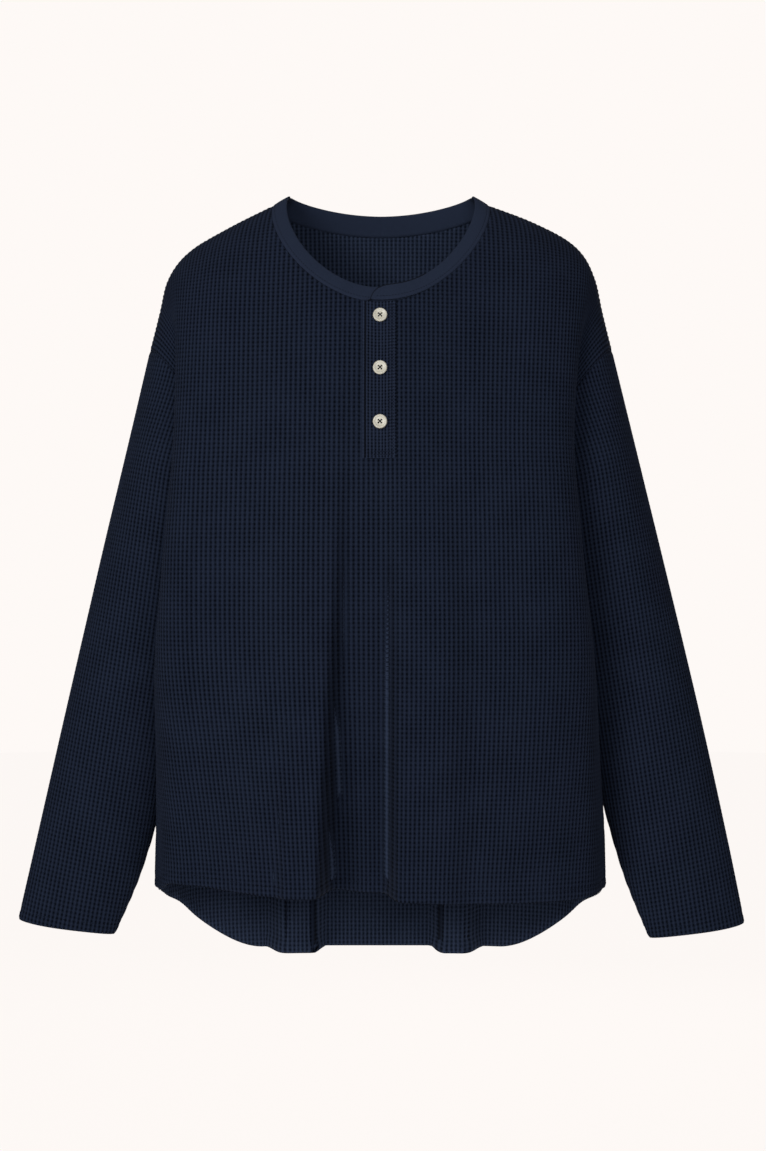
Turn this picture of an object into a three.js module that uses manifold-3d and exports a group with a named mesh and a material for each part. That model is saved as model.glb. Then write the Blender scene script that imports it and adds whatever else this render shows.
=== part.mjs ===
// A waffle-knit henley top, hollow, in the form that it has when it is worn.
// Millimetres, +Z up. The front faces -Y, and +X is on the right of someone who looks at the front.
// The origin is the middle of the neck, level with the highest points of the neckband.
import * as THREE from "three";
import { mergeVertices } from "three/addons/utils/BufferGeometryUtils.js";
import Module from "manifold-3d";

// Cloth and sewing
const KNIT = 2.0;              // thickness of the waffle knit
const BAND = 2.4;              // thickness of the folded neckband
const GAP = 0.3;               // space left between two pieces at a seam
const HALF_GAP = GAP / 2;

// Neck opening, measured at the seam that joins the neckband to the panels
const NECK_HALF_WIDTH = 109.5;
const NECK_SIDE_DROP = 9.5;
const NECK_FRONT = { drop: 112, fullness: 1.3 };
const NECK_BACK = { drop: 20.5, fullness: 1.1 };
const BAND_WIDTH = 18;
const BAND_LEAN = { front: 60, side: 31.8, back: 83 };     // degrees from level
const PANEL_LEAN = { front: 76, side: 23.5, back: 60 };

// The panels: from the middle to the side, and from the shoulder to the hem
const PANEL_HALF_WIDTH = 300;
const NECK_SHARE = NECK_HALF_WIDTH / PANEL_HALF_WIDTH;
const UNDERARM_DROP = 290;
const SIDE_HEM_DROP = 707;
const FRONT_HEM_DIP = 4;
const TAIL_LENGTH = 83;        // how far the back hangs below the side corners
const TAIL_FLAT_SHARE = 0.44;  // the part of the tail's half width that is level

// The shoulder line, seen from the front, from the neck to the top of the armhole. The cloth of
// the panels is shaped as if the two lines met over the middle of the neck, in a low arch.
const SHOULDER = [
  { x: 109.5, dropLeft: 9.5, dropRight: 9.5, y: 0 },
  { x: 156, dropLeft: 32.5, dropRight: 27, y: 1 },
  { x: 193.5, dropLeft: 53.5, dropRight: 46, y: 3 },
  { x: 209.5, dropLeft: 68.5, dropRight: 61.5, y: 4 },
  { x: 221, dropLeft: 88, dropRight: 85, y: 6 },
  { x: 229, dropLeft: 120, dropRight: 119, y: 8 },
  { x: 239.3, dropLeft: 160, dropRight: 160, y: 10 },
];
const ARCH = { slope: 0.44, flattening: 0.9 };

// Level sections of the body below the arms. An edge is the rounded fold that stands in front of
// the sleeve, a blade is the one behind it, and the side seam lies tucked in between them.
const BODY = [
  { drop: 290, front: 118, back: 116, edgeLeft: 209, edgeRight: 194, edgeY: -67, seamX: 150, seamY: 6, blade: 186, bladeY: 92 },
  { drop: 380, front: 119, back: 114, edgeLeft: 218, edgeRight: 203, edgeY: -66, seamX: 166, seamY: 6, blade: 197, bladeY: 88 },
  { drop: 480, front: 118, back: 110, edgeLeft: 227, edgeRight: 215, edgeY: -54, seamX: 185, seamY: 5, blade: 208, bladeY: 72 },
  { drop: 577, front: 117, back: 106, edgeLeft: 228, edgeRight: 222, edgeY: -36, seamX: 205, seamY: 2, blade: 217, bladeY: 52 },
  { drop: 650, front: 116, back: 104, edgeLeft: 229, edgeRight: 227, edgeY: -24, seamX: 223, seamY: -4, blade: 221, bladeY: 34 },
  { drop: 707, front: 116, back: 102, edgeLeft: 228, edgeRight: 226, edgeY: -34, seamX: 230, seamY: -12, blade: 218, bladeY: 34 },
  { drop: 800, front: 116, back: 100, edgeLeft: 226, edgeRight: 224, edgeY: -30, seamX: 229, seamY: -12, blade: 214, bladeY: 36 },
];

// Folds that fall from the chest and the back to the hem. Each is a trough, or a ridge where its
// depth is below 0, between a left and a right edge, whose places are given at the start of the
// fold and at the hem. Soft is the width over which an edge rounds off.
const FRONT_FOLDS = [
  { start: 200, end: 710, depth: 44, growth: 1.6, left: -32, leftEnd: -56, leftSoft: 24, right: 8, rightEnd: 9, rightSoft: 20 },
  { start: 180, end: 420, depth: -9, growth: 1.0, left: 12, leftEnd: 12, leftSoft: 22, right: 40, rightEnd: 78, rightSoft: 34 },
  { start: 420, end: 700, depth: -13, growth: 1.0, left: -92, leftEnd: -99, leftSoft: 12, right: -45, rightEnd: -56, rightSoft: 20 },
  { start: 110, end: 400, depth: 9, growth: 0.8, left: -168, leftEnd: -190, leftSoft: 24, right: -120, rightEnd: -128, rightSoft: 60 },
];
const BACK_FOLDS = [
  { start: 360, end: 790, depth: 46, growth: 1.5, left: -96, leftEnd: -112, leftSoft: 28, right: -60, rightEnd: -68, rightSoft: 22 },
  { start: 330, end: 790, depth: 48, growth: 1.5, left: 56, leftEnd: 61, leftSoft: 20, right: 88, rightEnd: 98, rightSoft: 28 },
];

const FOLD_REACH = 2.2;        // folds end between these of the section's points and the next

// How the knit's columns leave the shoulder line or the arch over the neck, and how they arrive at
// underarm level. A share is the part of the panel's half width that lies between the middle and
// the column.
const FRONT_YOKE = [
  { share: 0.0, topX: 0, topY: -89, topZ: -15, endX: 0, endY: 1, endZ: 100 },
  { share: 0.18, topX: 3, topY: -82, topZ: -13, endX: -1, endY: 1, endZ: 98 },
  { share: 0.36, topX: 12, topY: -70, topZ: -10, endX: -3, endY: 1, endZ: 95 },
  { share: 0.5, topX: 14, topY: -76, topZ: -14, endX: -5, endY: 2, endZ: 95 },
  { share: 0.7, topX: 2, topY: -72, topZ: -20, endX: -8, endY: -4, endZ: 85 },
  { share: 0.85, topX: -4, topY: -76, topZ: -4, endX: 2, endY: -12, endZ: 95 },
  { share: 1.0, topX: -8, topY: -88, topZ: 4, endX: 24, endY: -56, endZ: 74 },
];
const BACK_YOKE = [
  { share: 0.0, topX: 0, topY: 70, topZ: -8, endX: 0, endY: 2, endZ: 100 },
  { share: 0.18, topX: 3, topY: 68, topZ: -9, endX: 2, endY: 2, endZ: 100 },
  { share: 0.36, topX: 12, topY: 64, topZ: -8, endX: -3, endY: 2, endZ: 100 },
  { share: 0.5, topX: 14, topY: 74, topZ: -14, endX: -5, endY: 2, endZ: 95 },
  { share: 0.7, topX: 2, topY: 74, topZ: -20, endX: -4, endY: 6, endZ: 85 },
  { share: 0.85, topX: -4, topY: 76, topZ: -4, endX: 6, endY: 16, endZ: 95 },
  { share: 1.0, topX: -6, topY: 82, topZ: 4, endX: 24, endY: 70, endZ: 74 },
];

// Sleeves: the outer line runs from the armhole to the cuff, a little out of straight as the two
// columns left and right say, and at each distance along it the tube is an ellipse, deep at the
// armhole and much flatter at the cuff.
const SLEEVE_TILT = THREE.MathUtils.degToRad(13.1);
const SLEEVE_LENGTH = { left: 598, right: 602 };
const CUFF_SKEW = 7;           // how much longer the sleeve is at its outer line than inside
const ARMHOLE_BLEND = { outer: 130, under: 50 };   // where the tube has the armhole's outline
const SLEEVE = [
  { along: 0, halfWidth: 54, halfDepth: 72, midY: 14, left: 0, right: 0 },
  { along: 100, halfWidth: 54, halfDepth: 71, midY: 20, left: 1, right: 2 },
  { along: 200, halfWidth: 56.5, halfDepth: 60, midY: 24, left: 2.5, right: 4 },
  { along: 300, halfWidth: 58.5, halfDepth: 49, midY: 23, left: 2.5, right: 5 },
  { along: 400, halfWidth: 60, halfDepth: 40, midY: 17, left: 1.5, right: 4.5 },
  { along: 520, halfWidth: 57, halfDepth: 29, midY: 2, left: -1, right: 1 },
  { along: 601, halfWidth: 49.5, halfDepth: 22, midY: -10, left: -3, right: -3 },
];

// Placket and buttons
const PLACKET = { left: -17, right: 15, top: 1.0, length: 157, openEdgeLift: 1.0 };
const BUTTON = { radius: 7, thickness: 2.8, holeRadius: 0.8, holeOffset: 1.5 };
const BUTTON_X = -0.6;
const BUTTON_DISTANCES = [15.5, 68.5, 121.5];   // down the placket, from the neck seam

// Colours and finishes
const NAVY_KNIT = { color: 0x1b2233, roughness: 0.95, metalness: 0 };
const NAVY_BAND = { color: 0x1f2637, roughness: 0.9, metalness: 0 };
const CREAM = { color: 0xe1dcc8, roughness: 0.45, metalness: 0 };

// Small maths
const mix = (a, b, t) => a + (b - a) * t;
const clamp01 = (t) => Math.min(1, Math.max(0, t));
const bySide = (side, left, right) => (side < 0 ? left : right);
const ease = (t) => { const c = clamp01(t); return c * c * (3 - 2 * c); };

// Reads every column of a table at one value of its key, smoothly between the rows.
function readTable(table, key, value) {
  const last = table.length - 1;
  let i = 0;
  while (i < last - 1 && value > table[i + 1][key]) i += 1;
  const slope = (k, column) => {
    const a = table[Math.max(0, k - 1)];
    const b = table[Math.min(last, k + 1)];
    return (b[column] - a[column]) / (b[key] - a[key]);
  };
  const span = table[i + 1][key] - table[i][key];
  const t = clamp01((value - table[i][key]) / span);
  const row = {};
  for (const column of Object.keys(table[0])) {
    const a = table[i][column];
    const b = table[i + 1][column];
    const fromA = a + slope(i, column) * span * t;
    const fromB = b - slope(i + 1, column) * span * (1 - t);
    const straight = mix(a, b, t);
    row[column] = straight + (fromA - straight) * (1 - t) * (1 - t) + (fromB - straight) * t * t;
  }
  return row;
}

// How far the folds push the cloth inwards at one place of a level section.
function foldDepth(folds, x, drop) {
  let depth = 0;
  for (const fold of folds) {
    const grown = clamp01((drop - fold.start) / (fold.end - fold.start));
    const left = mix(fold.left, fold.leftEnd, grown);
    const right = mix(fold.right, fold.rightEnd, grown);
    const inside = ease((x - left) / fold.leftSoft + 0.5) * ease((right - x) / fold.rightSoft + 0.5);
    depth += fold.depth * grown ** fold.growth * inside;
  }
  return depth;
}

// The points that shape one half of a level section, from the middle of the front to that of the back.
function sectionPoints(drop, side) {
  const r = readTable(BODY, "drop", drop);
  const edge = bySide(side, r.edgeLeft, r.edgeRight);
  return [
    [0, -r.front],
    [0.56 * edge, -r.front + 5],
    [0.9 * edge, mix(-r.front, r.edgeY, 0.42)],
    [edge, r.edgeY],
    [mix(edge, r.seamX, 0.62), mix(r.edgeY, r.seamY, 0.36)],
    [r.seamX, r.seamY],
    [mix(r.blade, r.seamX, 0.62), mix(r.bladeY, r.seamY, 0.36)],
    [r.blade, r.bladeY],
    [0.88 * r.blade, mix(r.back, r.bladeY, 0.42)],
    [0.52 * r.blade, r.back - 4],
    [0, r.back],
  ];
}

function splinePoint(points, at) {
  const last = points.length - 1;
  const i = Math.min(last - 1, Math.floor(at));
  const t = at - i;
  const p = (k) => {
    if (k < 0) return [-points[1][0], points[1][1]];
    if (k > last) return [-points[last - 1][0], points[last - 1][1]];
    return points[k];
  };
  const [a, b, c, d] = [p(i - 1), p(i), p(i + 1), p(i + 2)];
  return [0, 1].map((n) => 0.5 * (2 * b[n] + (c[n] - a[n]) * t
    + (2 * a[n] - 5 * b[n] + 4 * c[n] - d[n]) * t * t
    + (3 * b[n] - a[n] - 3 * c[n] + d[n]) * t * t * t));
}

// One panel's half of a level section, as points with their distance from the middle along the
// plain section and the push that the folds give them.
const sectionStore = new Map();
function panelSection(panel, side, drop) {
  const name = `${panel} ${side} ${drop.toFixed(3)}`;
  if (sectionStore.has(name)) return sectionStore.get(name);
  const points = sectionPoints(drop, side);
  const steps = 120;
  const line = [];
  for (let k = 0; k <= steps; k += 1) {
    const at = panel === "front" ? (5 * k) / steps : 10 - (5 * k) / steps;
    const [x, y] = splinePoint(points, at);
    const facing = 1 - ease((5 * k) / steps - FOLD_REACH);
    const push = facing * (panel === "front"
      ? foldDepth(FRONT_FOLDS, side * x, drop)
      : -foldDepth(BACK_FOLDS, side * x, drop));
    const before = line[k - 1];
    const distance = before ? before.distance + Math.hypot(x - before.x, y - before.y) : 0;
    line.push({ x, y, push, distance });
  }
  sectionStore.set(name, line);
  return line;
}

function bodyPoint(panel, side, share, drop) {
  const line = panelSection(panel, side, drop);
  const goal = share * line[line.length - 1].distance;
  let k = 1;
  while (k < line.length - 1 && line[k].distance < goal) k += 1;
  const a = line[k - 1];
  const b = line[k];
  const t = (goal - a.distance) / (b.distance - a.distance);
  return new THREE.Vector3(side * mix(a.x, b.x, t), mix(a.y + a.push, b.y + b.push, t), -drop);
}

// Which way a surface rises from the neck seam and faces there, from how far it leans, in degrees
// from level, at the middle of the front or back and at the shoulder.
function neckFacing(seam, panel, lean) {
  const sideways = (seam.x / NECK_HALF_WIDTH) ** 2;
  const slope = THREE.MathUtils.degToRad(mix(lean[panel], lean.side, sideways));
  const inwards = new THREE.Vector3(-seam.x, -seam.y, 0).normalize();
  return {
    rise: inwards.clone().multiplyScalar(Math.cos(slope)).setZ(Math.sin(slope)),
    out: inwards.clone().multiplyScalar(-Math.sin(slope)).setZ(Math.cos(slope)),
  };
}

const shoulderLines = [-1, 1].map((side) => new THREE.CatmullRomCurve3(
  SHOULDER.map((p) => new THREE.Vector3(p.x, p.y, -bySide(side, p.dropLeft, p.dropRight))),
));

// The upper end of a column, on the shoulder line or on the arch over the neck.
function columnTop(side, share) {
  if (share >= NECK_SHARE) {
    const line = bySide(side, ...shoulderLines);
    return line.getPointAt(clamp01((share - NECK_SHARE) / (1 - NECK_SHARE)));
  }
  const inwards = 1 - share / NECK_SHARE;
  const climb = ARCH.slope * NECK_HALF_WIDTH * (inwards - 0.5 * ARCH.flattening * inwards * inwards);
  return new THREE.Vector3(NECK_HALF_WIDTH * (1 - inwards), 0, climb - NECK_SIDE_DROP);
}

// How far down the neck seam crosses a column.
function neckDrop(panel, share) {
  const shape = panel === "front" ? NECK_FRONT : NECK_BACK;
  const cosine = Math.sqrt(Math.max(0, 1 - (share / NECK_SHARE) ** 2));
  return NECK_SIDE_DROP + shape.drop * cosine ** shape.fullness;
}

// What is left of a curve below a level.
function curveBelow(curve, z) {
  let [above, below] = [0, 1];
  for (let k = 0; k < 40; k += 1) {
    const middle = (above + below) / 2;
    if (curve.getPoint(middle).z > z) above = middle;
    else below = middle;
  }
  let points = [curve.v0, curve.v1, curve.v2, curve.v3];
  const kept = [curve.v3];
  while (points.length > 1) {
    points = points.slice(1).map((point, k) => points[k].clone().lerp(point, below));
    kept.unshift(points[points.length - 1]);
  }
  return new THREE.CubicBezierCurve3(...kept);
}

// One of the knit's columns on the yoke, from the neck or shoulder seam to underarm level.
const columnStore = new Map();
function yokeColumn(panel, side, share) {
  const name = `${panel} ${side} ${share.toFixed(5)}`;
  if (columnStore.has(name)) return columnStore.get(name);
  const top = columnTop(side, share);
  const h = readTable(panel === "front" ? FRONT_YOKE : BACK_YOKE, "share", share);
  const end = bodyPoint(panel, side, share, UNDERARM_DROP);
  end.x *= side;
  const leave = top.clone().add(new THREE.Vector3(h.topX, h.topY, h.topZ));
  const arrive = end.clone().add(new THREE.Vector3(h.endX, h.endY, h.endZ));
  const whole = new THREE.CubicBezierCurve3(top, leave, arrive, end);
  const curve = share < NECK_SHARE ? curveBelow(whole, -neckDrop(panel, share)) : whole;
  columnStore.set(name, curve);
  return curve;
}

function hemDrop(panel, side, share) {
  if (panel === "front") {
    return SIDE_HEM_DROP + (side > 0 ? FRONT_HEM_DIP * Math.sin(Math.PI * share) : 0);
  }
  const rise = ease((share - TAIL_FLAT_SHARE) / (1 - TAIL_FLAT_SHARE));
  return SIDE_HEM_DROP + TAIL_LENGTH * (1 - rise);
}

// A place on a panel's outer face. The top goes from 0 at the upper seam to 1 at underarm level,
// and the rest of the way, to 2, is down to the hem.
function panelPoint(panel, side, share, down) {
  if (down <= 1) {
    const point = yokeColumn(panel, side, share).getPointAt(down);
    point.x *= side;
    return point;
  }
  const drop = mix(UNDERARM_DROP, hemDrop(panel, side, share), down - 1);
  return bodyPoint(panel, side, share, drop);
}

// The outward direction at each point of a grid, from the cells around it.
function gridNormals(grid, round) {
  const rows = grid.length;
  const columns = grid[0].length;
  const normals = grid.map((row) => row.map(() => new THREE.Vector3()));
  const across = new THREE.Vector3();
  const down = new THREE.Vector3();
  for (let r = 0; r < rows - 1; r += 1) {
    for (let c = 0; c < (round ? columns : columns - 1); c += 1) {
      const d = (c + 1) % columns;
      across.copy(grid[r + 1][d]).sub(grid[r][c]);
      down.copy(grid[r + 1][c]).sub(grid[r][d]);
      across.cross(down);
      for (const [i, j] of [[r, c], [r, d], [r + 1, c], [r + 1, d]]) normals[i][j].add(across);
    }
  }
  normals.forEach((row) => row.forEach((normal) => normal.normalize()));
  return normals;
}

// A wall of cloth. The grid is its outer face, with rows that run to the left of its columns when
// it is seen from outside, and its inner face lies one thickness within.
function clothWall(grid, normals, thickness, round = false) {
  const rows = grid.length;
  const columns = grid[0].length;
  const positions = [];
  for (const skin of [0, thickness]) {
    for (let r = 0; r < rows; r += 1) {
      for (let c = 0; c < columns; c += 1) {
        const point = grid[r][c].clone().addScaledVector(normals[r][c], -skin);
        positions.push(point.x, point.y, point.z);
      }
    }
  }
  const index = [];
  const outer = (r, c) => r * columns + (c % columns);
  const inner = (r, c) => rows * columns + outer(r, c);
  const quad = (a, b, c, d) => index.push(a, b, c, a, c, d);
  const cells = round ? columns : columns - 1;
  for (let r = 0; r < rows - 1; r += 1) {
    for (let c = 0; c < cells; c += 1) {
      quad(outer(r, c), outer(r + 1, c), outer(r + 1, c + 1), outer(r, c + 1));
      quad(inner(r, c), inner(r, c + 1), inner(r + 1, c + 1), inner(r + 1, c));
    }
  }
  for (let c = 0; c < cells; c += 1) {
    quad(outer(0, c), outer(0, c + 1), inner(0, c + 1), inner(0, c));
    const end = rows - 1;
    quad(outer(end, c), inner(end, c), inner(end, c + 1), outer(end, c + 1));
  }
  if (!round) {
    const end = columns - 1;
    for (let r = 0; r < rows - 1; r += 1) {
      quad(outer(r, 0), inner(r, 0), inner(r + 1, 0), outer(r + 1, 0));
      quad(outer(r, end), outer(r + 1, end), inner(r + 1, end), inner(r, end));
    }
  }
  const geometry = new THREE.BufferGeometry();
  geometry.setAttribute("position", new THREE.Float32BufferAttribute(positions, 3));
  geometry.setIndex(index);
  if (signedVolume(geometry) < 0) turnInsideOut(geometry);
  geometry.computeVertexNormals();
  return geometry;
}

function signedVolume(geometry) {
  const p = geometry.getAttribute("position");
  const corners = geometry.index.array;
  const [a, b, c] = [new THREE.Vector3(), new THREE.Vector3(), new THREE.Vector3()];
  let volume = 0;
  for (let k = 0; k < corners.length; k += 3) {
    a.fromBufferAttribute(p, corners[k]);
    b.fromBufferAttribute(p, corners[k + 1]);
    c.fromBufferAttribute(p, corners[k + 2]);
    volume += a.dot(b.cross(c)) / 6;
  }
  return volume;
}

function turnInsideOut(geometry) {
  const corners = geometry.index.array;
  for (let k = 0; k < corners.length; k += 3) {
    [corners[k], corners[k + 1]] = [corners[k + 1], corners[k]];
  }
}

// Columns of a panel: closer together where the neckline is steep. Pieces that share a seam have
// their points at the same places along it: these columns at the neck, and these rows and turns
// at the armhole.
const NECK_TURNS = [4, 8, 12.2, 16.6, 21.2, 26, 31, 36.5, 42.5, 50, 60, 72, 82, 90];   // degrees
const ARMHOLE_ROWS = 10;
function panelShares(sideColumns) {
  const shares = NECK_TURNS.map((turn) => NECK_SHARE * Math.sin(THREE.MathUtils.degToRad(turn)));
  for (let k = 1; k <= sideColumns; k += 1) {
    shares.push(mix(NECK_SHARE, 1, k / sideColumns));
  }
  shares[shares.length - 1] -= HALF_GAP / PANEL_HALF_WIDTH;
  return shares;
}

function panelPiece(panel, sideColumns, bodyRows) {
  const shares = panelShares(sideColumns);
  const columns = [
    ...shares.map((share) => ({ side: -1, share })).reverse(),
    { side: 1, share: 0 },
    ...shares.map((share) => ({ side: 1, share })),
  ];
  const grid = [];
  for (let r = 0; r <= ARMHOLE_ROWS + bodyRows; r += 1) {
    grid.push(columns.map(({ side, share }) => {
      if (r > ARMHOLE_ROWS) return panelPoint(panel, side, share, 1 + (r - ARMHOLE_ROWS) / bodyRows);
      const length = yokeColumn(panel, side, share).getLength();
      const first = share < NECK_SHARE ? 0 : HALF_GAP / length;
      return panelPoint(panel, side, share, mix(first, 1, r / ARMHOLE_ROWS));
    }));
  }
  if (panel === "back") grid.forEach((row) => row.reverse());
  const normals = gridNormals(grid, false);
  const facing = panel === "front" ? 1 : -1;
  if (normals[ARMHOLE_ROWS][shares.length].y * facing > 0) {
    normals.forEach((row) => row.forEach((normal) => normal.negate()));
  }
  alignSeamNormals(panel, grid, normals);
  return clothWall(grid, normals, KNIT);
}

// The outward direction at the armhole seam, and how far both sides of the seam take it. Further
// down, in the gap under the arm, they turn away from each other, and each keeps its own.
const SHARED_FACING = { from: 0.15, fade: 0.3 };
function armholeFacing(panel, side, down) {
  const column = yokeColumn(panel, side, 1);
  const arm = new THREE.Vector3(Math.sin(SLEEVE_TILT), 0, -Math.cos(SLEEVE_TILT));
  const out = column.getTangentAt(down).cross(arm).normalize();
  if (out.x < 0) out.negate();
  out.x *= side;
  return { out, weight: 1 - ease((down - SHARED_FACING.from) / SHARED_FACING.fade) };
}

// Pieces that meet at a seam face the same way there, so that their edges stay apart.
function alignSeamNormals(panel, grid, normals) {
  const along = new THREE.Vector3();
  const forward = new THREE.Vector3(0, 1, 0);
  const last = grid[0].length - 1;
  for (let c = 0; c <= last; c += 1) {
    if (Math.abs(grid[0][c].x) < NECK_HALF_WIDTH + 1) {
      normals[0][c].copy(neckFacing(grid[0][c], panel, PANEL_LEAN).out);
    } else {
      along.copy(grid[0][Math.min(last, c + 1)]).sub(grid[0][Math.max(0, c - 1)]);
      normals[0][c].crossVectors(along, forward).normalize();
      if (normals[0][c].z < 0) normals[0][c].negate();
    }
  }
  for (const c of [0, last]) {
    const side = Math.sign(grid[0][c].x);
    for (let r = 1; r < ARMHOLE_ROWS; r += 1) {
      const { out, weight } = armholeFacing(panel, side, r / ARMHOLE_ROWS);
      normals[r][c].lerp(out, weight).normalize();
    }
    for (let r = ARMHOLE_ROWS; r < grid.length; r += 1) {
      along.copy(grid[Math.min(grid.length - 1, r + 1)][c]).sub(grid[Math.max(ARMHOLE_ROWS, r - 1)][c]);
      normals[r][c].crossVectors(along, forward).normalize();
      if (normals[r][c].x * side < 0) normals[r][c].negate();
    }
  }
}

// The angle on a half ellipse, outer end first, that has this share of its length behind it.
function ellipseAngle(halfWidth, halfDepth, share) {
  const steps = 90;
  const lengths = [0];
  for (let k = 1; k <= steps; k += 1) {
    const middle = (Math.PI * (k - 0.5)) / steps;
    const piece = Math.hypot(halfWidth * Math.sin(middle), halfDepth * Math.cos(middle));
    lengths.push(lengths[k - 1] + piece);
  }
  const goal = share * lengths[steps];
  let k = 1;
  while (k < steps && lengths[k] < goal) k += 1;
  const t = (goal - lengths[k - 1]) / (lengths[k] - lengths[k - 1]);
  return (Math.PI * (k - 1 + t)) / steps;
}

// A sleeve section: turn 0 is its outer line, 0.5 the front, 1 the underarm seam, 1.5 the back.
const SLEEVE_TOP = SHOULDER[SHOULDER.length - 1];
function sleeveRing(side, along, turn) {
  const r = readTable(SLEEVE, "along", along);
  const angle = ellipseAngle(r.halfWidth, r.halfDepth, turn <= 1 ? turn : 2 - turn);
  const inwards = r.halfWidth * (1 - Math.cos(angle));
  const front = turn <= 1 ? -1 : 1;
  return new THREE.Vector3(
    SLEEVE_TOP.x + along * Math.sin(SLEEVE_TILT) - inwards * Math.cos(SLEEVE_TILT)
      + bySide(side, r.left, r.right),
    r.midY + front * r.halfDepth * Math.sin(angle),
    -SLEEVE_TOP.dropLeft - along * Math.cos(SLEEVE_TILT) - inwards * Math.sin(SLEEVE_TILT),
  );
}

function sleevePoint(side, turn, share, start) {
  const panel = turn <= 1 ? "front" : "back";
  const armhole = yokeColumn(panel, side, 1).getPointAt(turn <= 1 ? turn : 2 - turn);
  const armholeAlong = (armhole.x - SLEEVE_TOP.x) * Math.sin(SLEEVE_TILT)
    + (-SLEEVE_TOP.dropLeft - armhole.z) * Math.cos(SLEEVE_TILT);
  const length = bySide(side, SLEEVE_LENGTH.left, SLEEVE_LENGTH.right);
  const cuffAlong = length + CUFF_SKEW * 0.5 * (Math.cos(Math.PI * turn) - 1);
  const along = mix(armholeAlong, cuffAlong, share) + start;
  const blend = mix(ARMHOLE_BLEND.outer, ARMHOLE_BLEND.under, turn <= 1 ? turn : 2 - turn);
  const pull = 1 - ease((along - start - armholeAlong) / blend);
  const shift = armhole.clone().sub(sleeveRing(side, armholeAlong, turn));
  const point = sleeveRing(side, along, turn).addScaledVector(shift, pull);
  point.x *= side;
  return point;
}

function sleevePiece(side, rows) {
  const around = 2 * ARMHOLE_ROWS;
  const grid = [];
  for (let r = 0; r <= rows; r += 1) {
    const row = [];
    for (let c = 0; c < around; c += 1) {
      const turn = (2 * c) / around;
      row.push(sleevePoint(side, turn, r / rows, r === 0 ? GAP : 0));
    }
    if (side < 0) row.reverse();
    grid.push(row);
  }
  const normals = gridNormals(grid, true);
  const centre = new THREE.Vector3();
  grid[rows].forEach((point) => centre.addScaledVector(point, 1 / around));
  if (normals[rows][0].dot(grid[rows][0].clone().sub(centre)) < 0) {
    normals.forEach((row) => row.forEach((normal) => normal.negate()));
  }
  normals[0].forEach((normal, c) => {
    const turn = (2 * (side < 0 ? around - 1 - c : c)) / around;
    const panel = turn <= 1 ? "front" : "back";
    const { out, weight } = armholeFacing(panel, side, turn <= 1 ? turn : 2 - turn);
    normal.lerp(out, weight).normalize();
  });
  return clothWall(grid, normals, KNIT, true);
}

// The corners of the neck seam all the way round, as turns in degrees from the middle of the
// front by the right shoulder. Between them it is straight, as the panels' edges are.
function neckCorners() {
  const quarter = [0, ...NECK_TURNS];
  const half = [...quarter, ...quarter.slice(0, -1).reverse().map((turn) => 180 - turn)];
  return [...half, ...half.slice(0, -1).reverse().map((turn) => 360 - turn)];
}

function neckCorner(turn) {
  const angle = THREE.MathUtils.degToRad(turn);
  const side = Math.sin(angle) < 0 ? -1 : 1;
  const panel = Math.cos(angle) > 0 ? "front" : "back";
  const share = NECK_SHARE * Math.min(Math.abs(Math.sin(angle)), 0.999999);
  const point = yokeColumn(panel, side, share).v0.clone();
  point.x *= side;
  return point;
}

function neckSeam(turn) {
  const corners = neckCorners();
  const around = ((turn % 360) + 360) % 360;
  let k = 1;
  while (k < corners.length - 1 && corners[k] < around) k += 1;
  const t = (around - corners[k - 1]) / (corners[k] - corners[k - 1]);
  return neckCorner(corners[k - 1]).lerp(neckCorner(corners[k]), t);
}

// The neckband runs from its upper end, just left of the middle, round by the right shoulder, the
// back and the left shoulder, to its lower end, which lies under the upper one.
const BAND_UPPER_END = { turns: [-4.7, -3.4, -1.8], x: -9, roundLength: 18, narrowest: 2.5 };
const BAND_LOWER_END = { turn: 366.8 };
const BAND_LIFT_FADE = 30;      // the turn by which the upper end is down on the panel's level
function bandPiece(across) {
  const turns = [...BAND_UPPER_END.turns, ...neckCorners(), BAND_LOWER_END.turn];
  const grid = [];
  const normals = [];
  for (let r = 0; r <= across; r += 1) {
    grid.push([]);
    normals.push([]);
  }
  for (const turn of turns) {
    const panel = turn > 90 && turn < 270 ? "back" : "front";
    const seam = neckSeam(turn);
    const { rise, out } = neckFacing(seam, panel, BAND_LEAN);
    const seamOut = neckFacing(seam, panel, PANEL_LEAN).out;
    const lift = (BAND + GAP) * (1 - ease(turn / BAND_LIFT_FADE));
    const { x, roundLength, narrowest } = BAND_UPPER_END;
    const past = turn < 90 ? clamp01(1 - (seam.x - x) / roundLength) : 0;
    const width = mix(narrowest, BAND_WIDTH, Math.sqrt(1 - past * past));
    for (let r = 0; r <= across; r += 1) {
      const height = mix(width, GAP, r / across);
      const point = seam.clone().addScaledVector(rise, height).addScaledVector(out, lift);
      grid[r].push(point);
      normals[r].push(out.clone().lerp(seamOut, (r / across) ** 2).normalize());
    }
  }
  return clothWall(grid, normals, BAND);
}

// A place on the front, a distance to the right of the middle and down from the neck seam, with
// the outward direction there.
function frontPlace(x, down) {
  const at = (dx, dd) => {
    const side = x + dx < 0 ? -1 : 1;
    return panelPoint("front", side, Math.abs(x + dx) / PANEL_HALF_WIDTH, clamp01(down + dd));
  };
  const across = at(3, 0).sub(at(-3, 0));
  const along = at(0, 0.01).sub(at(0, -0.01));
  const normal = across.cross(along).normalize();
  if (normal.y > 0) normal.negate();
  return { point: at(0, 0), normal };
}

// Places along the placket, as the share of the way from the neck seam to underarm level.
const frontLength = yokeColumn("front", 1, 0).getLength();
const downPlacket = (distance) => distance / frontLength;

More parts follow.
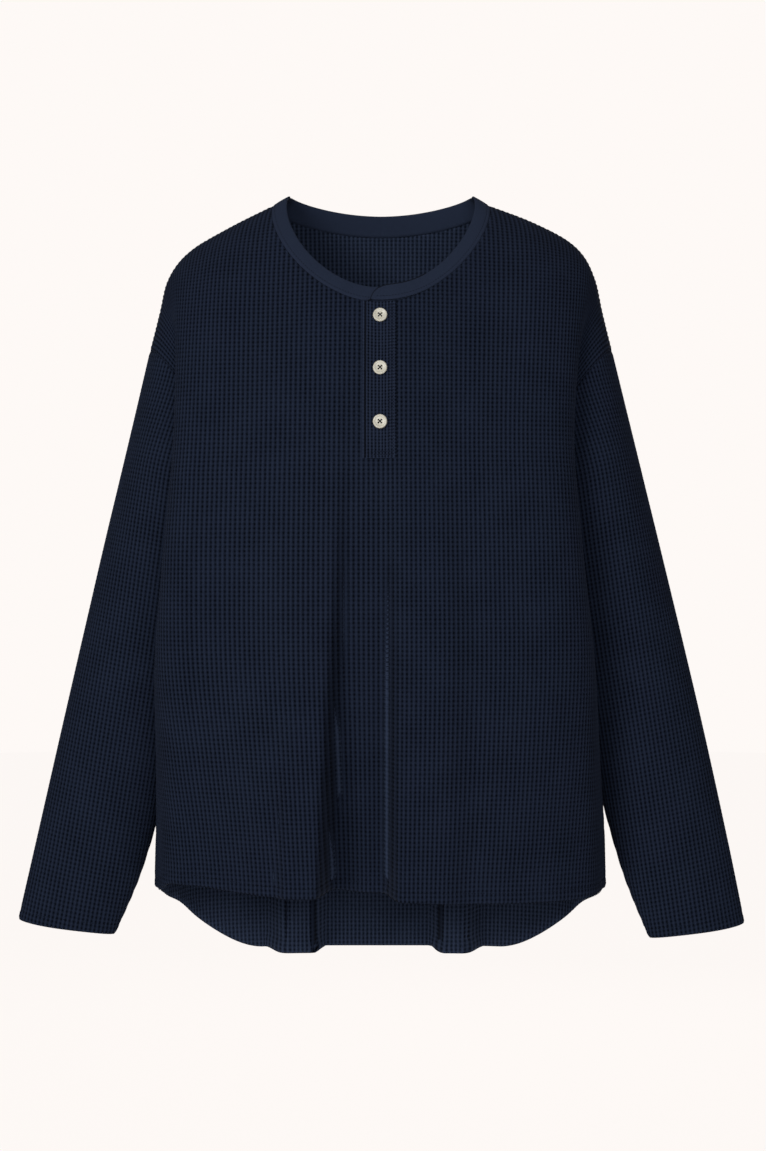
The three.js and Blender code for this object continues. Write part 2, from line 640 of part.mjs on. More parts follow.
// How far the placket's outer face stands off the front's, with its open edge a little loose.
function placketHeight(x, down) {
  const across = (x - PLACKET.left) / (PLACKET.right - PLACKET.left);
  const loose = (1 - ease(across / 0.5)) * ease((downPlacket(PLACKET.length) - down) / 0.3);
  return GAP + KNIT + PLACKET.openEdgeLift * loose;
}

// The placket has its corners over those of the front, so that it follows it closely.
function placketPiece() {
  const columns = [PLACKET.left, PLACKET.right];
  for (const side of [-1, 1]) {
    for (const share of [0, ...panelShares(1)]) {
      const x = side * share * PANEL_HALF_WIDTH;
      if (x > PLACKET.left + 1 && x < PLACKET.right - 1 && (side > 0 || share > 0)) columns.push(x);
    }
  }
  columns.sort((a, b) => a - b);
  const rows = [downPlacket(PLACKET.top), downPlacket(PLACKET.length)];
  for (let r = 1; r < ARMHOLE_ROWS; r += 1) {
    if (r / ARMHOLE_ROWS < downPlacket(PLACKET.length) - 0.03) rows.push(r / ARMHOLE_ROWS);
  }
  rows.sort((a, b) => a - b);
  const normals = rows.map(() => []);
  const grid = rows.map((down, r) => columns.map((x) => {
    const { point, normal } = frontPlace(x, down);
    normals[r].push(normal);
    return point.addScaledVector(normal, placketHeight(x, down));
  }));
  return clothWall(grid, normals, KNIT);
}

// How far a button's back stands off the front so that its whole rim clears the placket.
function buttonSeat(x, down) {
  const centre = frontPlace(x, down);
  let highest = placketHeight(x, down);
  for (let k = 0; k < 12; k += 1) {
    const angle = (2 * Math.PI * k) / 12;
    const rimX = x + BUTTON.radius * Math.cos(angle);
    const rimDown = down + downPlacket(BUTTON.radius * Math.sin(angle));
    const rim = frontPlace(rimX, rimDown);
    rim.point.addScaledVector(rim.normal, placketHeight(rimX, rimDown)).sub(centre.point);
    highest = Math.max(highest, rim.point.dot(centre.normal));
  }
  return highest + GAP;
}

// Buttons: turned with a raised rim and a dished face, then drilled four times.
const wasm = await Module();
wasm.setup();

function asManifold(geometry) {
  const bare = geometry.clone();
  bare.deleteAttribute("normal");
  bare.deleteAttribute("uv");
  const merged = mergeVertices(bare);
  return new wasm.Manifold(new wasm.Mesh({
    numProp: 3,
    vertProperties: new Float32Array(merged.getAttribute("position").array),
    triVerts: new Uint32Array(merged.index.array),
  }));
}

function asGeometry(manifold) {
  const mesh = manifold.getMesh();
  const geometry = new THREE.BufferGeometry();
  geometry.setAttribute("position", new THREE.Float32BufferAttribute(mesh.vertProperties, 3));
  geometry.setIndex(Array.from(mesh.triVerts));
  geometry.computeVertexNormals();
  return geometry;
}

function buttonGeometry() {
  const { radius, thickness, holeRadius, holeOffset } = BUTTON;
  const rim = 0.9;
  const dish = 0.7;
  const profile = [
    [0, 0], [radius - rim, 0], [radius, rim], [radius, thickness - rim],
    [radius - rim * 0.6, thickness], [radius - 2 * rim, thickness],
    [radius - 3.4 * rim, thickness - dish], [0, thickness - dish],
  ].map(([r, y]) => new THREE.Vector2(r, y));
  const turned = new THREE.LatheGeometry(profile, 28).rotateX(Math.PI / 2);
  let button = asManifold(turned);
  for (const x of [-holeOffset, holeOffset]) {
    for (const y of [-holeOffset, holeOffset]) {
      const drill = new THREE.CylinderGeometry(holeRadius, holeRadius, 3 * thickness, 10);
      drill.rotateX(Math.PI / 2).translate(x, y, thickness / 2);
      button = button.subtract(asManifold(drill));
    }
  }
  return asGeometry(button);
}

// The garment
const henley = new THREE.Group();

function addPiece(name, geometry, finish) {
  const piece = new THREE.Mesh(geometry, new THREE.MeshStandardMaterial(finish));
  piece.name = name;
  henley.add(piece);
  return piece;
}

addPiece("front", panelPiece("front", 9, 18), NAVY_KNIT);
addPiece("back", panelPiece("back", 8, 16), NAVY_KNIT);
addPiece("sleeve_left", sleevePiece(-1, 17), NAVY_KNIT);
addPiece("sleeve_right", sleevePiece(1, 17), NAVY_KNIT);
addPiece("neckband", bandPiece(2), NAVY_BAND);
addPiece("placket", placketPiece(), NAVY_KNIT);

BUTTON_DISTANCES.forEach((distance, k) => {
  const down = downPlacket(distance);
  const { point, normal } = frontPlace(BUTTON_X, down);
  const button = addPiece(`button_${k + 1}`, buttonGeometry(), CREAM);
  button.position.copy(point).addScaledVector(normal, buttonSeat(BUTTON_X, down));
  button.quaternion.setFromUnitVectors(new THREE.Vector3(0, 0, 1), normal);
});

export default henley;
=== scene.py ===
# A waffle-knit henley top in the form that it has when it is worn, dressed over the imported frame.
# Metres, +Z up, the front faces -Y, and the origin is the middle of the neck. The cloth is cut in
# millimetres, as on a pattern table, and turned into metres where it is put in place.
import bisect
import math
from collections import namedtuple
from functools import partial

import bmesh
import bpy
from bmesh.types import BMEdge, BMFace, BMVert
from mathutils import Matrix, Vector


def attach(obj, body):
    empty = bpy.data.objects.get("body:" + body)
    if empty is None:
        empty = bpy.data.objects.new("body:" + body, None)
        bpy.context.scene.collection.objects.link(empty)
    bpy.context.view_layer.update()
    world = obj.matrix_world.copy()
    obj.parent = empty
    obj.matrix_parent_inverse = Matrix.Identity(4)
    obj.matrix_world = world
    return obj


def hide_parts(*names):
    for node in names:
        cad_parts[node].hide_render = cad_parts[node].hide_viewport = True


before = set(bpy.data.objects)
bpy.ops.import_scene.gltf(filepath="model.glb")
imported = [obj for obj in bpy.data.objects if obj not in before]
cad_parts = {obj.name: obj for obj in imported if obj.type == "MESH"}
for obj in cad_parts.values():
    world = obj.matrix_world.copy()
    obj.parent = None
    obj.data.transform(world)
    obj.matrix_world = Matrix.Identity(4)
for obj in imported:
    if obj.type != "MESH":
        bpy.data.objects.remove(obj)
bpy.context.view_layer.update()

# Studio: a camera level with the middle of the top, a plain pale floor well below the hem, a pale
# room, and large soft lights. The main one stands in front on the left.
PALE = (0.99, 0.947, 0.922, 1.0)
CAMERA_PLACE = (0.002, -2.060, -0.391)
LENS = 62.55
FLOOR_HEIGHT = -1.35
FLOOR_RADIUS = 9.0


def in_scene(name, data):
    item = bpy.data.objects.new(name, data)
    bpy.context.collection.objects.link(item)
    return item


def mesh_of(name, bm):
    mesh = bpy.data.meshes.new(name)
    bm.to_mesh(mesh)
    bm.free()
    return mesh


def new_material(name, settings):
    """A material with these settings of its shader, and with them its node tree and its shader."""
    material = bpy.data.materials.new(name)
    material.use_nodes = True
    shader = material.node_tree.nodes["Principled BSDF"]
    for setting, value in settings.items():
        shader.inputs[setting].default_value = value
    return material, material.node_tree, shader


def soft_light(name, place, aim, size, watts, colour):
    light = in_scene(name, bpy.data.lights.new(name, "AREA"))
    light.data.size = size
    light.data.energy = watts
    light.data.color = colour
    light.location = place
    light.rotation_euler = (Vector(aim) - Vector(place)).to_track_quat("-Z", "Y").to_euler()


camera = in_scene("camera", bpy.data.cameras.new("camera"))
camera.location = CAMERA_PLACE
camera.rotation_euler = (math.radians(90), 0, 0)
camera.data.sensor_width = 36
camera.data.lens = LENS
bpy.context.scene.camera = camera

soft_light("key", (-1.5, -2.6, 0.5), (0, 0, -0.4), 1.2, 62, (1.0, 0.985, 0.96))
soft_light("front", (0.2, -3.0, -0.1), (0, 0, -0.4), 0.9, 34, (1.0, 1.0, 1.0))
soft_light("overhead", (0, 0.2, 1.9), (0, 0, -0.3), 1.6, 14, (1.0, 1.0, 1.0))
soft_light("behind", (0.4, 2.6, 0.2), (0, 0, -0.4), 1.8, 40, (1.0, 0.99, 0.97))

room = bpy.data.worlds.new("room")
room.use_nodes = True
sky = room.node_tree
seen = sky.nodes["Background"]
seen.inputs["Color"].default_value = PALE
lighting = sky.nodes.new("ShaderNodeBackground")
lighting.inputs["Color"].default_value = PALE
lighting.inputs["Strength"].default_value = 0.2
ray = sky.nodes.new("ShaderNodeLightPath")
either = sky.nodes.new("ShaderNodeMixShader")
sky.links.new(ray.outputs["Is Camera Ray"], either.inputs["Fac"])
sky.links.new(lighting.outputs["Background"], either.inputs[1])
sky.links.new(seen.outputs["Background"], either.inputs[2])
sky.links.new(either.outputs["Shader"], sky.nodes["World Output"].inputs["Surface"])
bpy.context.scene.world = room
bpy.context.scene.view_settings.view_transform = "Standard"

floor_paint = new_material("floor_paint", {
    "Base Color": (0.02, 0.019, 0.018, 1.0),
    "Roughness": 1.0,
    "Specular IOR Level": 0.0,
    "Emission Color": PALE,
    "Emission Strength": 0.979,
})[0]
bm = bmesh.new()
bmesh.ops.create_circle(bm, cap_ends=True, segments=96, radius=FLOOR_RADIUS)
bmesh.ops.translate(bm, verts=bm.verts, vec=(0, 0, FLOOR_HEIGHT))
floor = in_scene("floor", mesh_of("floor", bm))
floor.data.materials.append(floor_paint)

# Front: one panel of cotton waffle knit, cut on the fold of the columns, with a neckline, two
# shoulders and two armholes. It hangs from the chest in soft folds, and its hem is turned up
# inside and stitched.
KNIT = 2.0                     # thickness of the cloth
HALF_GAP = 0.15                # what a piece leaves free on its side of a seam
HALF_PANEL = 300               # from the middle of the front or the back to its side seam
HALF_COLUMNS = 136             # steps of the knit in that width, two to a cell of the waffle
STEP = HALF_PANEL / HALF_COLUMNS
PITCH = 2 * STEP               # width and height of one cell
UNDERARM_DROP = 290
SIDE_HEM_DROP = 707
HEM_HEIGHT = 11.5
HEM_STITCHES = HEM_HEIGHT - 1.5
HEM_DIP = 4                    # how much lower the front hem hangs on the right
HEM_LIFT = {"height": 11, "start": -266, "full": -222, "eased": -102, "fading": -60}
GROOVE = {"x": -19.0, "width": 1.9, "depth": 1.2, "length": 158}
NECK_HALF_WIDTH = 109.5
NECK_SHARE = NECK_HALF_WIDTH / HALF_PANEL
NECK_SIDE_DROP = 9.5
NECKLINE = {"front": (112, 1.3), "back": (20.5, 1.7)}
ARCH_SLOPE = 0.44
ARCH_FLATTENING = 0.9
ARMHOLE_TOP_X = 239.3
ARMHOLE_TOP_DROP = 160
SECTION_STEPS = 120


def named(columns, *rows):
    return [dict(zip(columns.split(), row)) for row in rows]


SHOULDER = named(
    "x left right y",
    (109.5, 9.5, 9.5, 0),
    (156, 32.5, 27, 1),
    (193.5, 53.5, 46, 3),
    (209.5, 68.5, 61.5, 4),
    (221, 88, 85, 6),
    (229, 120, 119, 8),
    (ARMHOLE_TOP_X, ARMHOLE_TOP_DROP, ARMHOLE_TOP_DROP, 10),
)
BODY = named(
    "drop front back edge_left edge_right edge_y seam_x seam_y blade blade_y",
    (290, 118, 116, 209, 194, -67, 150, 6, 186, 92),
    (380, 119, 114, 218, 203, -66, 166, 6, 197, 88),
    (480, 118, 110, 227, 215, -54, 185, 5, 208, 72),
    (577, 117, 106, 228, 222, -36, 205, 2, 217, 52),
    (650, 116, 104, 229, 227, -24, 223, -4, 221, 34),
    (707, 116, 102, 228, 226, -34, 230, -12, 218, 34),
    (800, 116, 100, 226, 224, -30, 229, -12, 214, 36),
)
FOLDS = {
    "front": named(
        "start end depth growth left left_end left_soft right right_end right_soft",
        (200, 710, 46, 1.6, -32, -56, 15, 8, 9, 15),
        (240, 710, 9, 1.0, -30, -50, 18, -14, -28, 26),
        (180, 420, -9, 1.0, 12, 12, 22, 40, 78, 34),
        (420, 700, -13, 1.0, -92, -99, 12, -45, -56, 20),
        (110, 400, 9, 0.8, -168, -190, 24, -120, -128, 60),
    ),
    "back": named(
        "start end depth growth left left_end left_soft right right_end right_soft",
        (360, 790, 46, 1.5, -96, -112, 24, -60, -68, 12),
        (330, 790, 48, 1.5, 56, 61, 11, 88, 98, 24),
    ),
}
FOLD_REACH = 2.2
YOKE = {
    "front": named(
        "share top_x top_y top_z end_x end_y end_z",
        (0.0, 0, -89, -15, 0, 1, 100),
        (0.18, 3, -82, -13, -1, 1, 98),
        (0.36, 12, -70, -10, -3, 1, 95),
        (0.5, 14, -76, -14, -5, 2, 95),
        (0.7, 2, -72, -20, -8, -4, 85),
        (0.85, -4, -76, -4, 2, -12, 95),
        (1.0, -8, -88, 4, 24, -56, 74),
    ),
    "back": named(
        "share top_x top_y top_z end_x end_y end_z",
        (0.0, 0, 70, -8, 0, 2, 100),
        (0.18, 3, 68, -9, 2, 2, 100),
        (0.36, 12, 64, -8, -3, 2, 100),
        (0.5, 14, 74, -14, -5, 2, 95),
        (0.7, 2, 74, -20, -4, 6, 85),
        (0.85, -4, 76, -4, 6, 16, 95),
        (1.0, -6, 82, 4, 24, 70, 74),
    ),
}


def mix(a, b, t):
    return a + (b - a) * t


def ease(t):
    t = min(1.0, max(0.0, t))
    return t * t * (3 - 2 * t)


def read_table(table, key, value):
    last = len(table) - 1
    i = 0
    while i < last - 1 and value > table[i + 1][key]:
        i += 1

    def slope(k, column):
        a = table[max(0, k - 1)]
        b = table[min(last, k + 1)]
        return (b[column] - a[column]) / (b[key] - a[key])

    span = table[i + 1][key] - table[i][key]
    t = min(1.0, max(0.0, (value - table[i][key]) / span))
    row = {}
    for column in table[0]:
        a = table[i][column]
        b = table[i + 1][column]
        straight = mix(a, b, t)
        from_a = a + slope(i, column) * span * t - straight
        from_b = b - slope(i + 1, column) * span * (1 - t) - straight
        row[column] = straight + from_a * (1 - t) ** 2 + from_b * t * t
    return row


def fold_depth(panel, x, drop):
    depth = 0.0
    for fold in FOLDS[panel]:
        grown = (drop - fold["start"]) / (fold["end"] - fold["start"])
        if grown <= 0:
            continue
        grown = min(1.0, grown)
        from_left = (x - mix(fold["left"], fold["left_end"], grown)) / fold["left_soft"]
        from_right = (mix(fold["right"], fold["right_end"], grown) - x) / fold["right_soft"]
        inside = ease(from_left + 0.5) * ease(from_right + 0.5)
        depth += fold["depth"] * grown ** fold["growth"] * inside
    return depth


def section_points(drop, side):
    r = read_table(BODY, "drop", drop)
    edge = r["edge_left"] if side < 0 else r["edge_right"]
    return [
        (0, -r["front"]),
        (0.56 * edge, -r["front"] + 5),
        (0.9 * edge, mix(-r["front"], r["edge_y"], 0.42)),
        (edge, r["edge_y"]),
        (mix(edge, r["seam_x"], 0.62), mix(r["edge_y"], r["seam_y"], 0.36)),
        (r["seam_x"], r["seam_y"]),
        (mix(r["blade"], r["seam_x"], 0.62), mix(r["blade_y"], r["seam_y"], 0.36)),
        (r["blade"], r["blade_y"]),
        (0.88 * r["blade"], mix(r["back"], r["blade_y"], 0.42)),
        (0.52 * r["blade"], r["back"] - 4),
        (0, r["back"]),
    ]


def spline_point(points, at):
    i = min(len(points) - 2, int(at))
    t = at - i
    before = points[i - 1] if i > 0 else (-points[1][0], points[1][1])
    after = points[i + 2] if i + 2 < len(points) else (-points[-2][0], points[-2][1])
    place = []
    for a, b, c, d in zip(before, points[i], points[i + 1], after):
        square = (2 * a - 5 * b + 4 * c - d) * t * t
        cube = (3 * b - a - 3 * c + d) * t ** 3
        place.append(0.5 * (2 * b + (c - a) * t + square + cube))
    return place


sections = {}


def panel_section(panel, side, drop):
    name = (panel, side, round(drop, 3))
    if name not in sections:
        points = section_points(drop, side)
        inwards = 1 if panel == "front" else -1
        line = []
        lengths = [0.0]
        for k in range(SECTION_STEPS + 1):
            at = 5 * k / SECTION_STEPS
            x, y = spline_point(points, at if panel == "front" else 10 - at)
            if line:
                lengths.append(lengths[-1] + math.dist((x, y), line[-1][:2]))
            push = (1 - ease(at - FOLD_REACH)) * fold_depth(panel, side * x, drop)
            line.append((x, y, inwards * push))
        sections[name] = line, lengths
    return sections[name]


def body_point(panel, side, share, drop):
    line, lengths = panel_section(panel, side, drop)
    goal = share * lengths[-1]
    k = min(SECTION_STEPS - 1, max(0, bisect.bisect_left(lengths, goal) - 1))
    t = (goal - lengths[k]) / (lengths[k + 1] - lengths[k])
    a = line[k]
    b = line[k + 1]
    return Vector((side * mix(a[0], b[0], t), mix(a[1] + a[2], b[1] + b[2], t), -drop))


def measured(curve, steps):
    points = [curve(k / steps) for k in range(steps + 1)]
    lengths = [0.0]
    for a, b in zip(points, points[1:]):
        lengths.append(lengths[-1] + (b - a).length)
    return curve, lengths


def at_length(line, goal):
    curve, lengths = line
    k = min(len(lengths) - 2, max(0, bisect.bisect_left(lengths, goal) - 1))
    t = (goal - lengths[k]) / (lengths[k + 1] - lengths[k])
    return curve(min(1.0, max(0.0, (k + t) / (len(lengths) - 1))))


def shoulder_curve(side):
    drop = "left" if side < 0 else "right"
    points = [Vector((row["x"], row["y"], -row[drop])) for row in SHOULDER]
    points = [2 * points[0] - points[1], *points, 2 * points[-1] - points[-2]]

    def curve(t):
        at = t * (len(points) - 3)
        i = min(len(points) - 4, int(at))
        a, b, c, d = points[i:i + 4]
        ab = (b - a).length ** 0.5
        bc = (c - b).length ** 0.5
        cd = (d - c).length ** 0.5
        leave = ((b - a) / ab - (c - a) / (ab + bc) + (c - b) / bc) * bc
        arrive = ((c - b) / bc - (d - b) / (bc + cd) + (d - c) / cd) * bc
        s = at - i
        square = 3 * (c - b) - 2 * leave - arrive
        cube = 2 * (b - c) + leave + arrive
        return b + leave * s + square * s * s + cube * s ** 3

    return measured(curve, 200)


shoulders = {-1: shoulder_curve(-1), 1: shoulder_curve(1)}


def column_top(side, share):
    if share >= NECK_SHARE:
        line = shoulders[side]
        return at_length(line, line[1][-1] * min(1.0, (share - NECK_SHARE) / (1 - NECK_SHARE)))
    inwards = 1 - share / NECK_SHARE
    climb = ARCH_SLOPE * NECK_HALF_WIDTH * (inwards - 0.5 * ARCH_FLATTENING * inwards ** 2)
    return Vector((NECK_HALF_WIDTH * (1 - inwards), 0, climb - NECK_SIDE_DROP))


def bezier(points, t):
    while len(points) > 1:
        points = [a.lerp(b, t) for a, b in zip(points, points[1:])]
    return points[0]


def lower_part(points, z):
    above = 0.0
    below = 1.0
    for _ in range(30):
        middle = (above + below) / 2
        if bezier(points, middle).z > z:
            above = middle
        else:
            below = middle
    kept = [points[-1]]
    while len(points) > 1:
        points = [a.lerp(b, below) for a, b in zip(points, points[1:])]
        kept.insert(0, points[-1])
    return kept


columns_cut = {}


def yoke_column(panel, side, share):
    name = (panel, side, round(share, 6))
    if name not in columns_cut:
        top = column_top(side, share)
        h = read_table(YOKE[panel], "share", share)
        end = body_point(panel, side, share, UNDERARM_DROP)
        end.x *= side
        leave = top + Vector((h["top_x"], h["top_y"], h["top_z"]))
        arrive = end + Vector((h["end_x"], h["end_y"], h["end_z"]))
        points = [top, leave, arrive, end]
        if share < NECK_SHARE:
            drop, fullness = NECKLINE[panel]
            cosine = math.sqrt(1 - (share / NECK_SHARE) ** 2)
            points = lower_part(points, -NECK_SIDE_DROP - drop * cosine ** fullness)
        for point in points:
            point.x *= side
        columns_cut[name] = measured(lambda t, points=points: bezier(points, t), 60)
    return columns_cut[name]


def panel_place(panel, u, v):
    side = -1 if u < 0 else 1
    if v < 0:
        return body_point(panel, side, abs(u) / HALF_PANEL, UNDERARM_DROP - v)
    column = yoke_column(panel, side, abs(u) / HALF_PANEL)
    return at_length(column, column[1][-1] - v)


def panel_top(panel, u):
    column = yoke_column(panel, -1 if u < 0 else 1, abs(u) / HALF_PANEL)
    return column[1][-1] - (HALF_GAP if abs(u) >= NECK_HALF_WIDTH else 0)


def cut_knit(half_columns, rows_above, rows_below, trim):
    bm = bmesh.new()
    rows = rows_above + rows_below
    bmesh.ops.create_grid(bm, x_segments=2 * half_columns, y_segments=rows, size=1.0)
    cloth_map = bm.loops.layers.uv.new("cloth")
    for vert in bm.verts:
        u = STEP * round(vert.co.x * half_columns)
        v = STEP * (round((vert.co.y + 1) * rows / 2) - rows_below)
        vert.co = (*trim(u, v), 0)
    bmesh.ops.remove_doubles(bm, verts=bm.verts, dist=0.02)
    bmesh.ops.dissolve_degenerate(bm, edges=bm.edges, dist=0.01)
    for face in bm.faces:
        for loop in face.loops:
            loop[cloth_map].uv = (loop.vert.co.x / 1000, loop.vert.co.y / 1000)
    return bm


def on_coarse_line(edge, pattern):
    a, b = (vert[pattern] for vert in edge.verts)
    for i in (0, 1):
        line = a[i] / (4 * STEP)
        if abs(a[i] - b[i]) < 0.01 and abs(line - round(line)) < 0.01:
            return True
    return False


def only(kind, items):
    return [item for item in items if isinstance(item, kind)]


def sew_cloth(bm, place, outwards, relief, thickness, rims=((-math.inf, math.inf),)):
    """Puts a cut piece in place, gives it its relief, and closes it with a plainer inner face."""
    pattern = bm.verts.layers.float_vector.new("pattern")
    for vert in bm.verts:
        vert[pattern] = vert.co
        vert.co = place(vert.co.x, vert.co.y)
    bmesh.ops.remove_doubles(bm, verts=[v for v in bm.verts if v.is_boundary], dist=0.01)
    bm.normal_update()
    turned_out = 0
    for face in bm.faces:
        turned_out += face.calc_area() * face.normal.dot(outwards(face.calc_center_median()))
    if turned_out < 0:
        bmesh.ops.reverse_faces(bm, faces=bm.faces)
        bm.normal_update()
    outer = list(bm.verts)
    copy = bmesh.ops.duplicate(bm, geom=list(bm.verts) + list(bm.edges) + list(bm.faces))["geom"]
    inner = only(BMVert, copy)
    inner_faces = only(BMFace, copy)
    for vert in inner:
        vert.co -= vert.normal * thickness(*vert[pattern][:2])
    for vert in outer:
        vert.co += vert.normal * relief(*vert[pattern][:2])
    bmesh.ops.reverse_faces(bm, faces=inner_faces)
    for face in inner_faces:
        face.material_index = 1
    spare = [edge for edge in only(BMEdge, copy)
             if not edge.is_boundary and not edge.seam and not on_coarse_line(edge, pattern)]
    bmesh.ops.dissolve_edges(bm, edges=spare, use_verts=False)
    between = [vert for vert in inner
               if vert.is_valid and len(vert.link_edges) == 2 and not vert.is_boundary]
    bmesh.ops.dissolve_verts(bm, verts=between)
    for low, high in rims:
        rim = [edge for edge in bm.edges
               if edge.is_boundary and low < edge.verts[0][pattern].y < high]
        bmesh.ops.bridge_loops(bm, edges=rim)
    return bm


def finished(name, bm, materials, slot):
    bmesh.ops.scale(bm, vec=(0.001, 0.001, 0.001), verts=bm.verts)
    for face in bm.faces:
        face.smooth = True
    piece = in_scene(name, mesh_of(name, bm))
    for material in materials:
        piece.data.materials.append(material)
    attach(piece, "root")
    return piece


def waffle_relief(u, v):
    ridge_u = math.cos(math.pi * u / PITCH) ** 2
    ridge_v = math.cos(math.pi * v / PITCH) ** 2
    return -mix(mix(1.2, 0.72, ridge_v), 0.14 * (1 - ridge_v), ridge_u)


def knit_relief(u, v, from_edge, from_hem):
    """The waffle, pressed flatter at the seams and in the hem, with the hem's line of stitches."""
    pressed = mix(0.35, 1, ease((from_edge - 1.5) / 5))
    turned = mix(0.5, 1, ease((from_hem - HEM_HEIGHT + 2) / 3))
    seam_dip = 0.7 * (1 - ease(from_edge / 3))
    stitch_dip = 0.5 * max(0, 1 - abs(from_hem - HEM_STITCHES) / 2.2)
    rolled = 0.9 * (1 - ease(from_hem / 2.2))
    return waffle_relief(u, v) * pressed * turned - seam_dip - stitch_dip - rolled


def placket_groove(u, v):
    """The front sinks along the placket's open edge, where its own facing is folded back."""
    distance = panel_top("front", 0) - v
    along = ease(distance / 4) * ease((GROOVE["length"] - distance) / 6)
    return GROOVE["depth"] * along * math.exp(-((u - GROOVE["x"]) / GROOVE["width"]) ** 2)


def knit_thickness(from_hem):
    return KNIT + 1.3 * (1 - ease((from_hem - HEM_HEIGHT) / 1.5))


def trimmed(value, low, high):
    if value > high - 0.35 * STEP:
        return high
    if value < low + 0.35 * STEP:
        return low
    return value


def panel_edge(panel, u, v):
    top = panel_top(panel, u)
    near = panel_top(panel, u * 0.98)
    slope = (top - near) / (0.02 * abs(u)) if abs(u) > 8 else 0
    return min((top - v) / math.sqrt(1 + slope * slope), HALF_PANEL - abs(u))


def front_hem(u):
    """The hem dips a little on the right, and is drawn up on the left, most near the side."""
    if u > 0:
        return SIDE_HEM_DROP - UNDERARM_DROP + HEM_DIP * math.sin(math.pi * u / HALF_PANEL)
    lift = HEM_LIFT
    drawn_up = lift["height"] * ease((u - lift["start"]) / (lift["full"] - lift["start"]))
    drawn_up *= 1 - 0.75 * ease((u - lift["full"]) / (lift["eased"] - lift["full"]))
    drawn_up *= 1 - ease(1 - u / lift["fading"])
    return SIDE_HEM_DROP - UNDERARM_DROP - drawn_up


# The look of the knit: the raised grid of the waffle over its hollows, which are painted darker as
# shade, and in both the small loops of the yarn.
def shader_group(name, inputs, outputs):
    group = bpy.data.node_groups.new(name, "ShaderNodeTree")
    for socket_name, kind, value in inputs:
        socket = group.interface.new_socket(name=socket_name, in_out="INPUT", socket_type=kind)
        if value is not None:
            socket.default_value = value
    for socket_name, kind in outputs:
        group.interface.new_socket(name=socket_name, in_out="OUTPUT", socket_type=kind)
    given = group.nodes.new("NodeGroupInput").outputs
    result = group.nodes.new("NodeGroupOutput").inputs
    return group, given, result


def maths(tree, operation, *values):
    node = tree.nodes.new("ShaderNodeMath")
    node.operation = operation
    for socket, value in zip(node.inputs, values):
        if isinstance(value, (int, float)):
            socket.default_value = value
        else:
            tree.links.new(value, socket)
    return node.outputs["Value"]


def wave_across(tree, coordinate, pitch):
    turns = maths(tree, "DIVIDE", coordinate, pitch)
    wave = maths(tree, "COSINE", maths(tree, "MULTIPLY", turns, 2 * math.pi))
    return maths(tree, "MULTIPLY_ADD", wave, 0.5, 0.5)


def noise(tree, coordinates, scale, detail, distortion=0):
    node = tree.nodes.new("ShaderNodeTexNoise")
    node.inputs["Scale"].default_value = scale
    node.inputs["Detail"].default_value = detail
    node.inputs["Distortion"].default_value = distortion
    tree.links.new(coordinates, node.inputs["Vector"])
    return node.outputs["Fac"]


def bump(tree, height, strength, distance):
    node = tree.nodes.new("ShaderNodeBump")
    node.inputs["Strength"].default_value = strength
    node.inputs["Distance"].default_value = distance
    tree.links.new(height, node.inputs["Height"])
    return node


def colour_between(tree, shader, low, high, share):
    colour = tree.nodes.new("ShaderNodeMix")
    colour.data_type = "RGBA"
    colour.inputs["A"].default_value = (*low, 1.0)
    colour.inputs["B"].default_value = (*high, 1.0)
    tree.links.new(share, colour.inputs["Factor"])
    tree.links.new(colour.outputs["Result"], shader.inputs["Base Color"])


waffle, given, result = shader_group(
    "waffle",
    [("Vector", "NodeSocketVector", None), ("Pitch", "NodeSocketFloat", PITCH / 1000)],
    [("Height", "NodeSocketFloat")],
)
axes = waffle.nodes.new("ShaderNodeSeparateXYZ")
waffle.links.new(given["Vector"], axes.inputs["Vector"])
columns = wave_across(waffle, axes.outputs["X"], given["Pitch"])
rows = wave_across(waffle, axes.outputs["Y"], given["Pitch"])
off_rows = maths(waffle, "SUBTRACT", 1, rows)
off_columns = maths(waffle, "SUBTRACT", 1, columns)
on_columns = maths(waffle, "MULTIPLY", columns, maths(waffle, "MULTIPLY_ADD", off_rows, -0.16, 1))
on_rows = maths(waffle, "MULTIPLY", off_columns, maths(waffle, "MULTIPLY", rows, 0.42))
waffle.links.new(maths(waffle, "ADD", on_columns, on_rows), result["Height"])

LOOP_WIDTH = 0.00072
LOOP_HEIGHT = 0.00062
yarn, given, result = shader_group(
    "yarn",
    [("Vector", "NodeSocketVector", None), ("Loop width", "NodeSocketFloat", LOOP_WIDTH)],
    [("Height", "NodeSocketFloat"), ("Fleck", "NodeSocketFloat")],
)
axes = yarn.nodes.new("ShaderNodeSeparateXYZ")
yarn.links.new(given["Vector"], axes.inputs["Vector"])
leaning = maths(yarn, "ABSOLUTE", maths(yarn, "PINGPONG", axes.outputs["X"], given["Loop width"]))
loops_down = wave_across(yarn, maths(yarn, "ADD", axes.outputs["Y"], leaning), LOOP_HEIGHT)
loops_across = wave_across(yarn, axes.outputs["X"], given["Loop width"])
loops_down = maths(yarn, "MULTIPLY_ADD", loops_down, 0.6, 0.4)
fuzz = noise(yarn, given["Vector"], 1400, 3)
fuzzy = maths(yarn, "MULTIPLY_ADD", fuzz, 0.7, maths(yarn, "MULTIPLY", loops_down, loops_across))
yarn.links.new(fuzzy, result["Height"])
yarn.links.new(noise(yarn, given["Vector"], 420, 2), result["Fleck"])


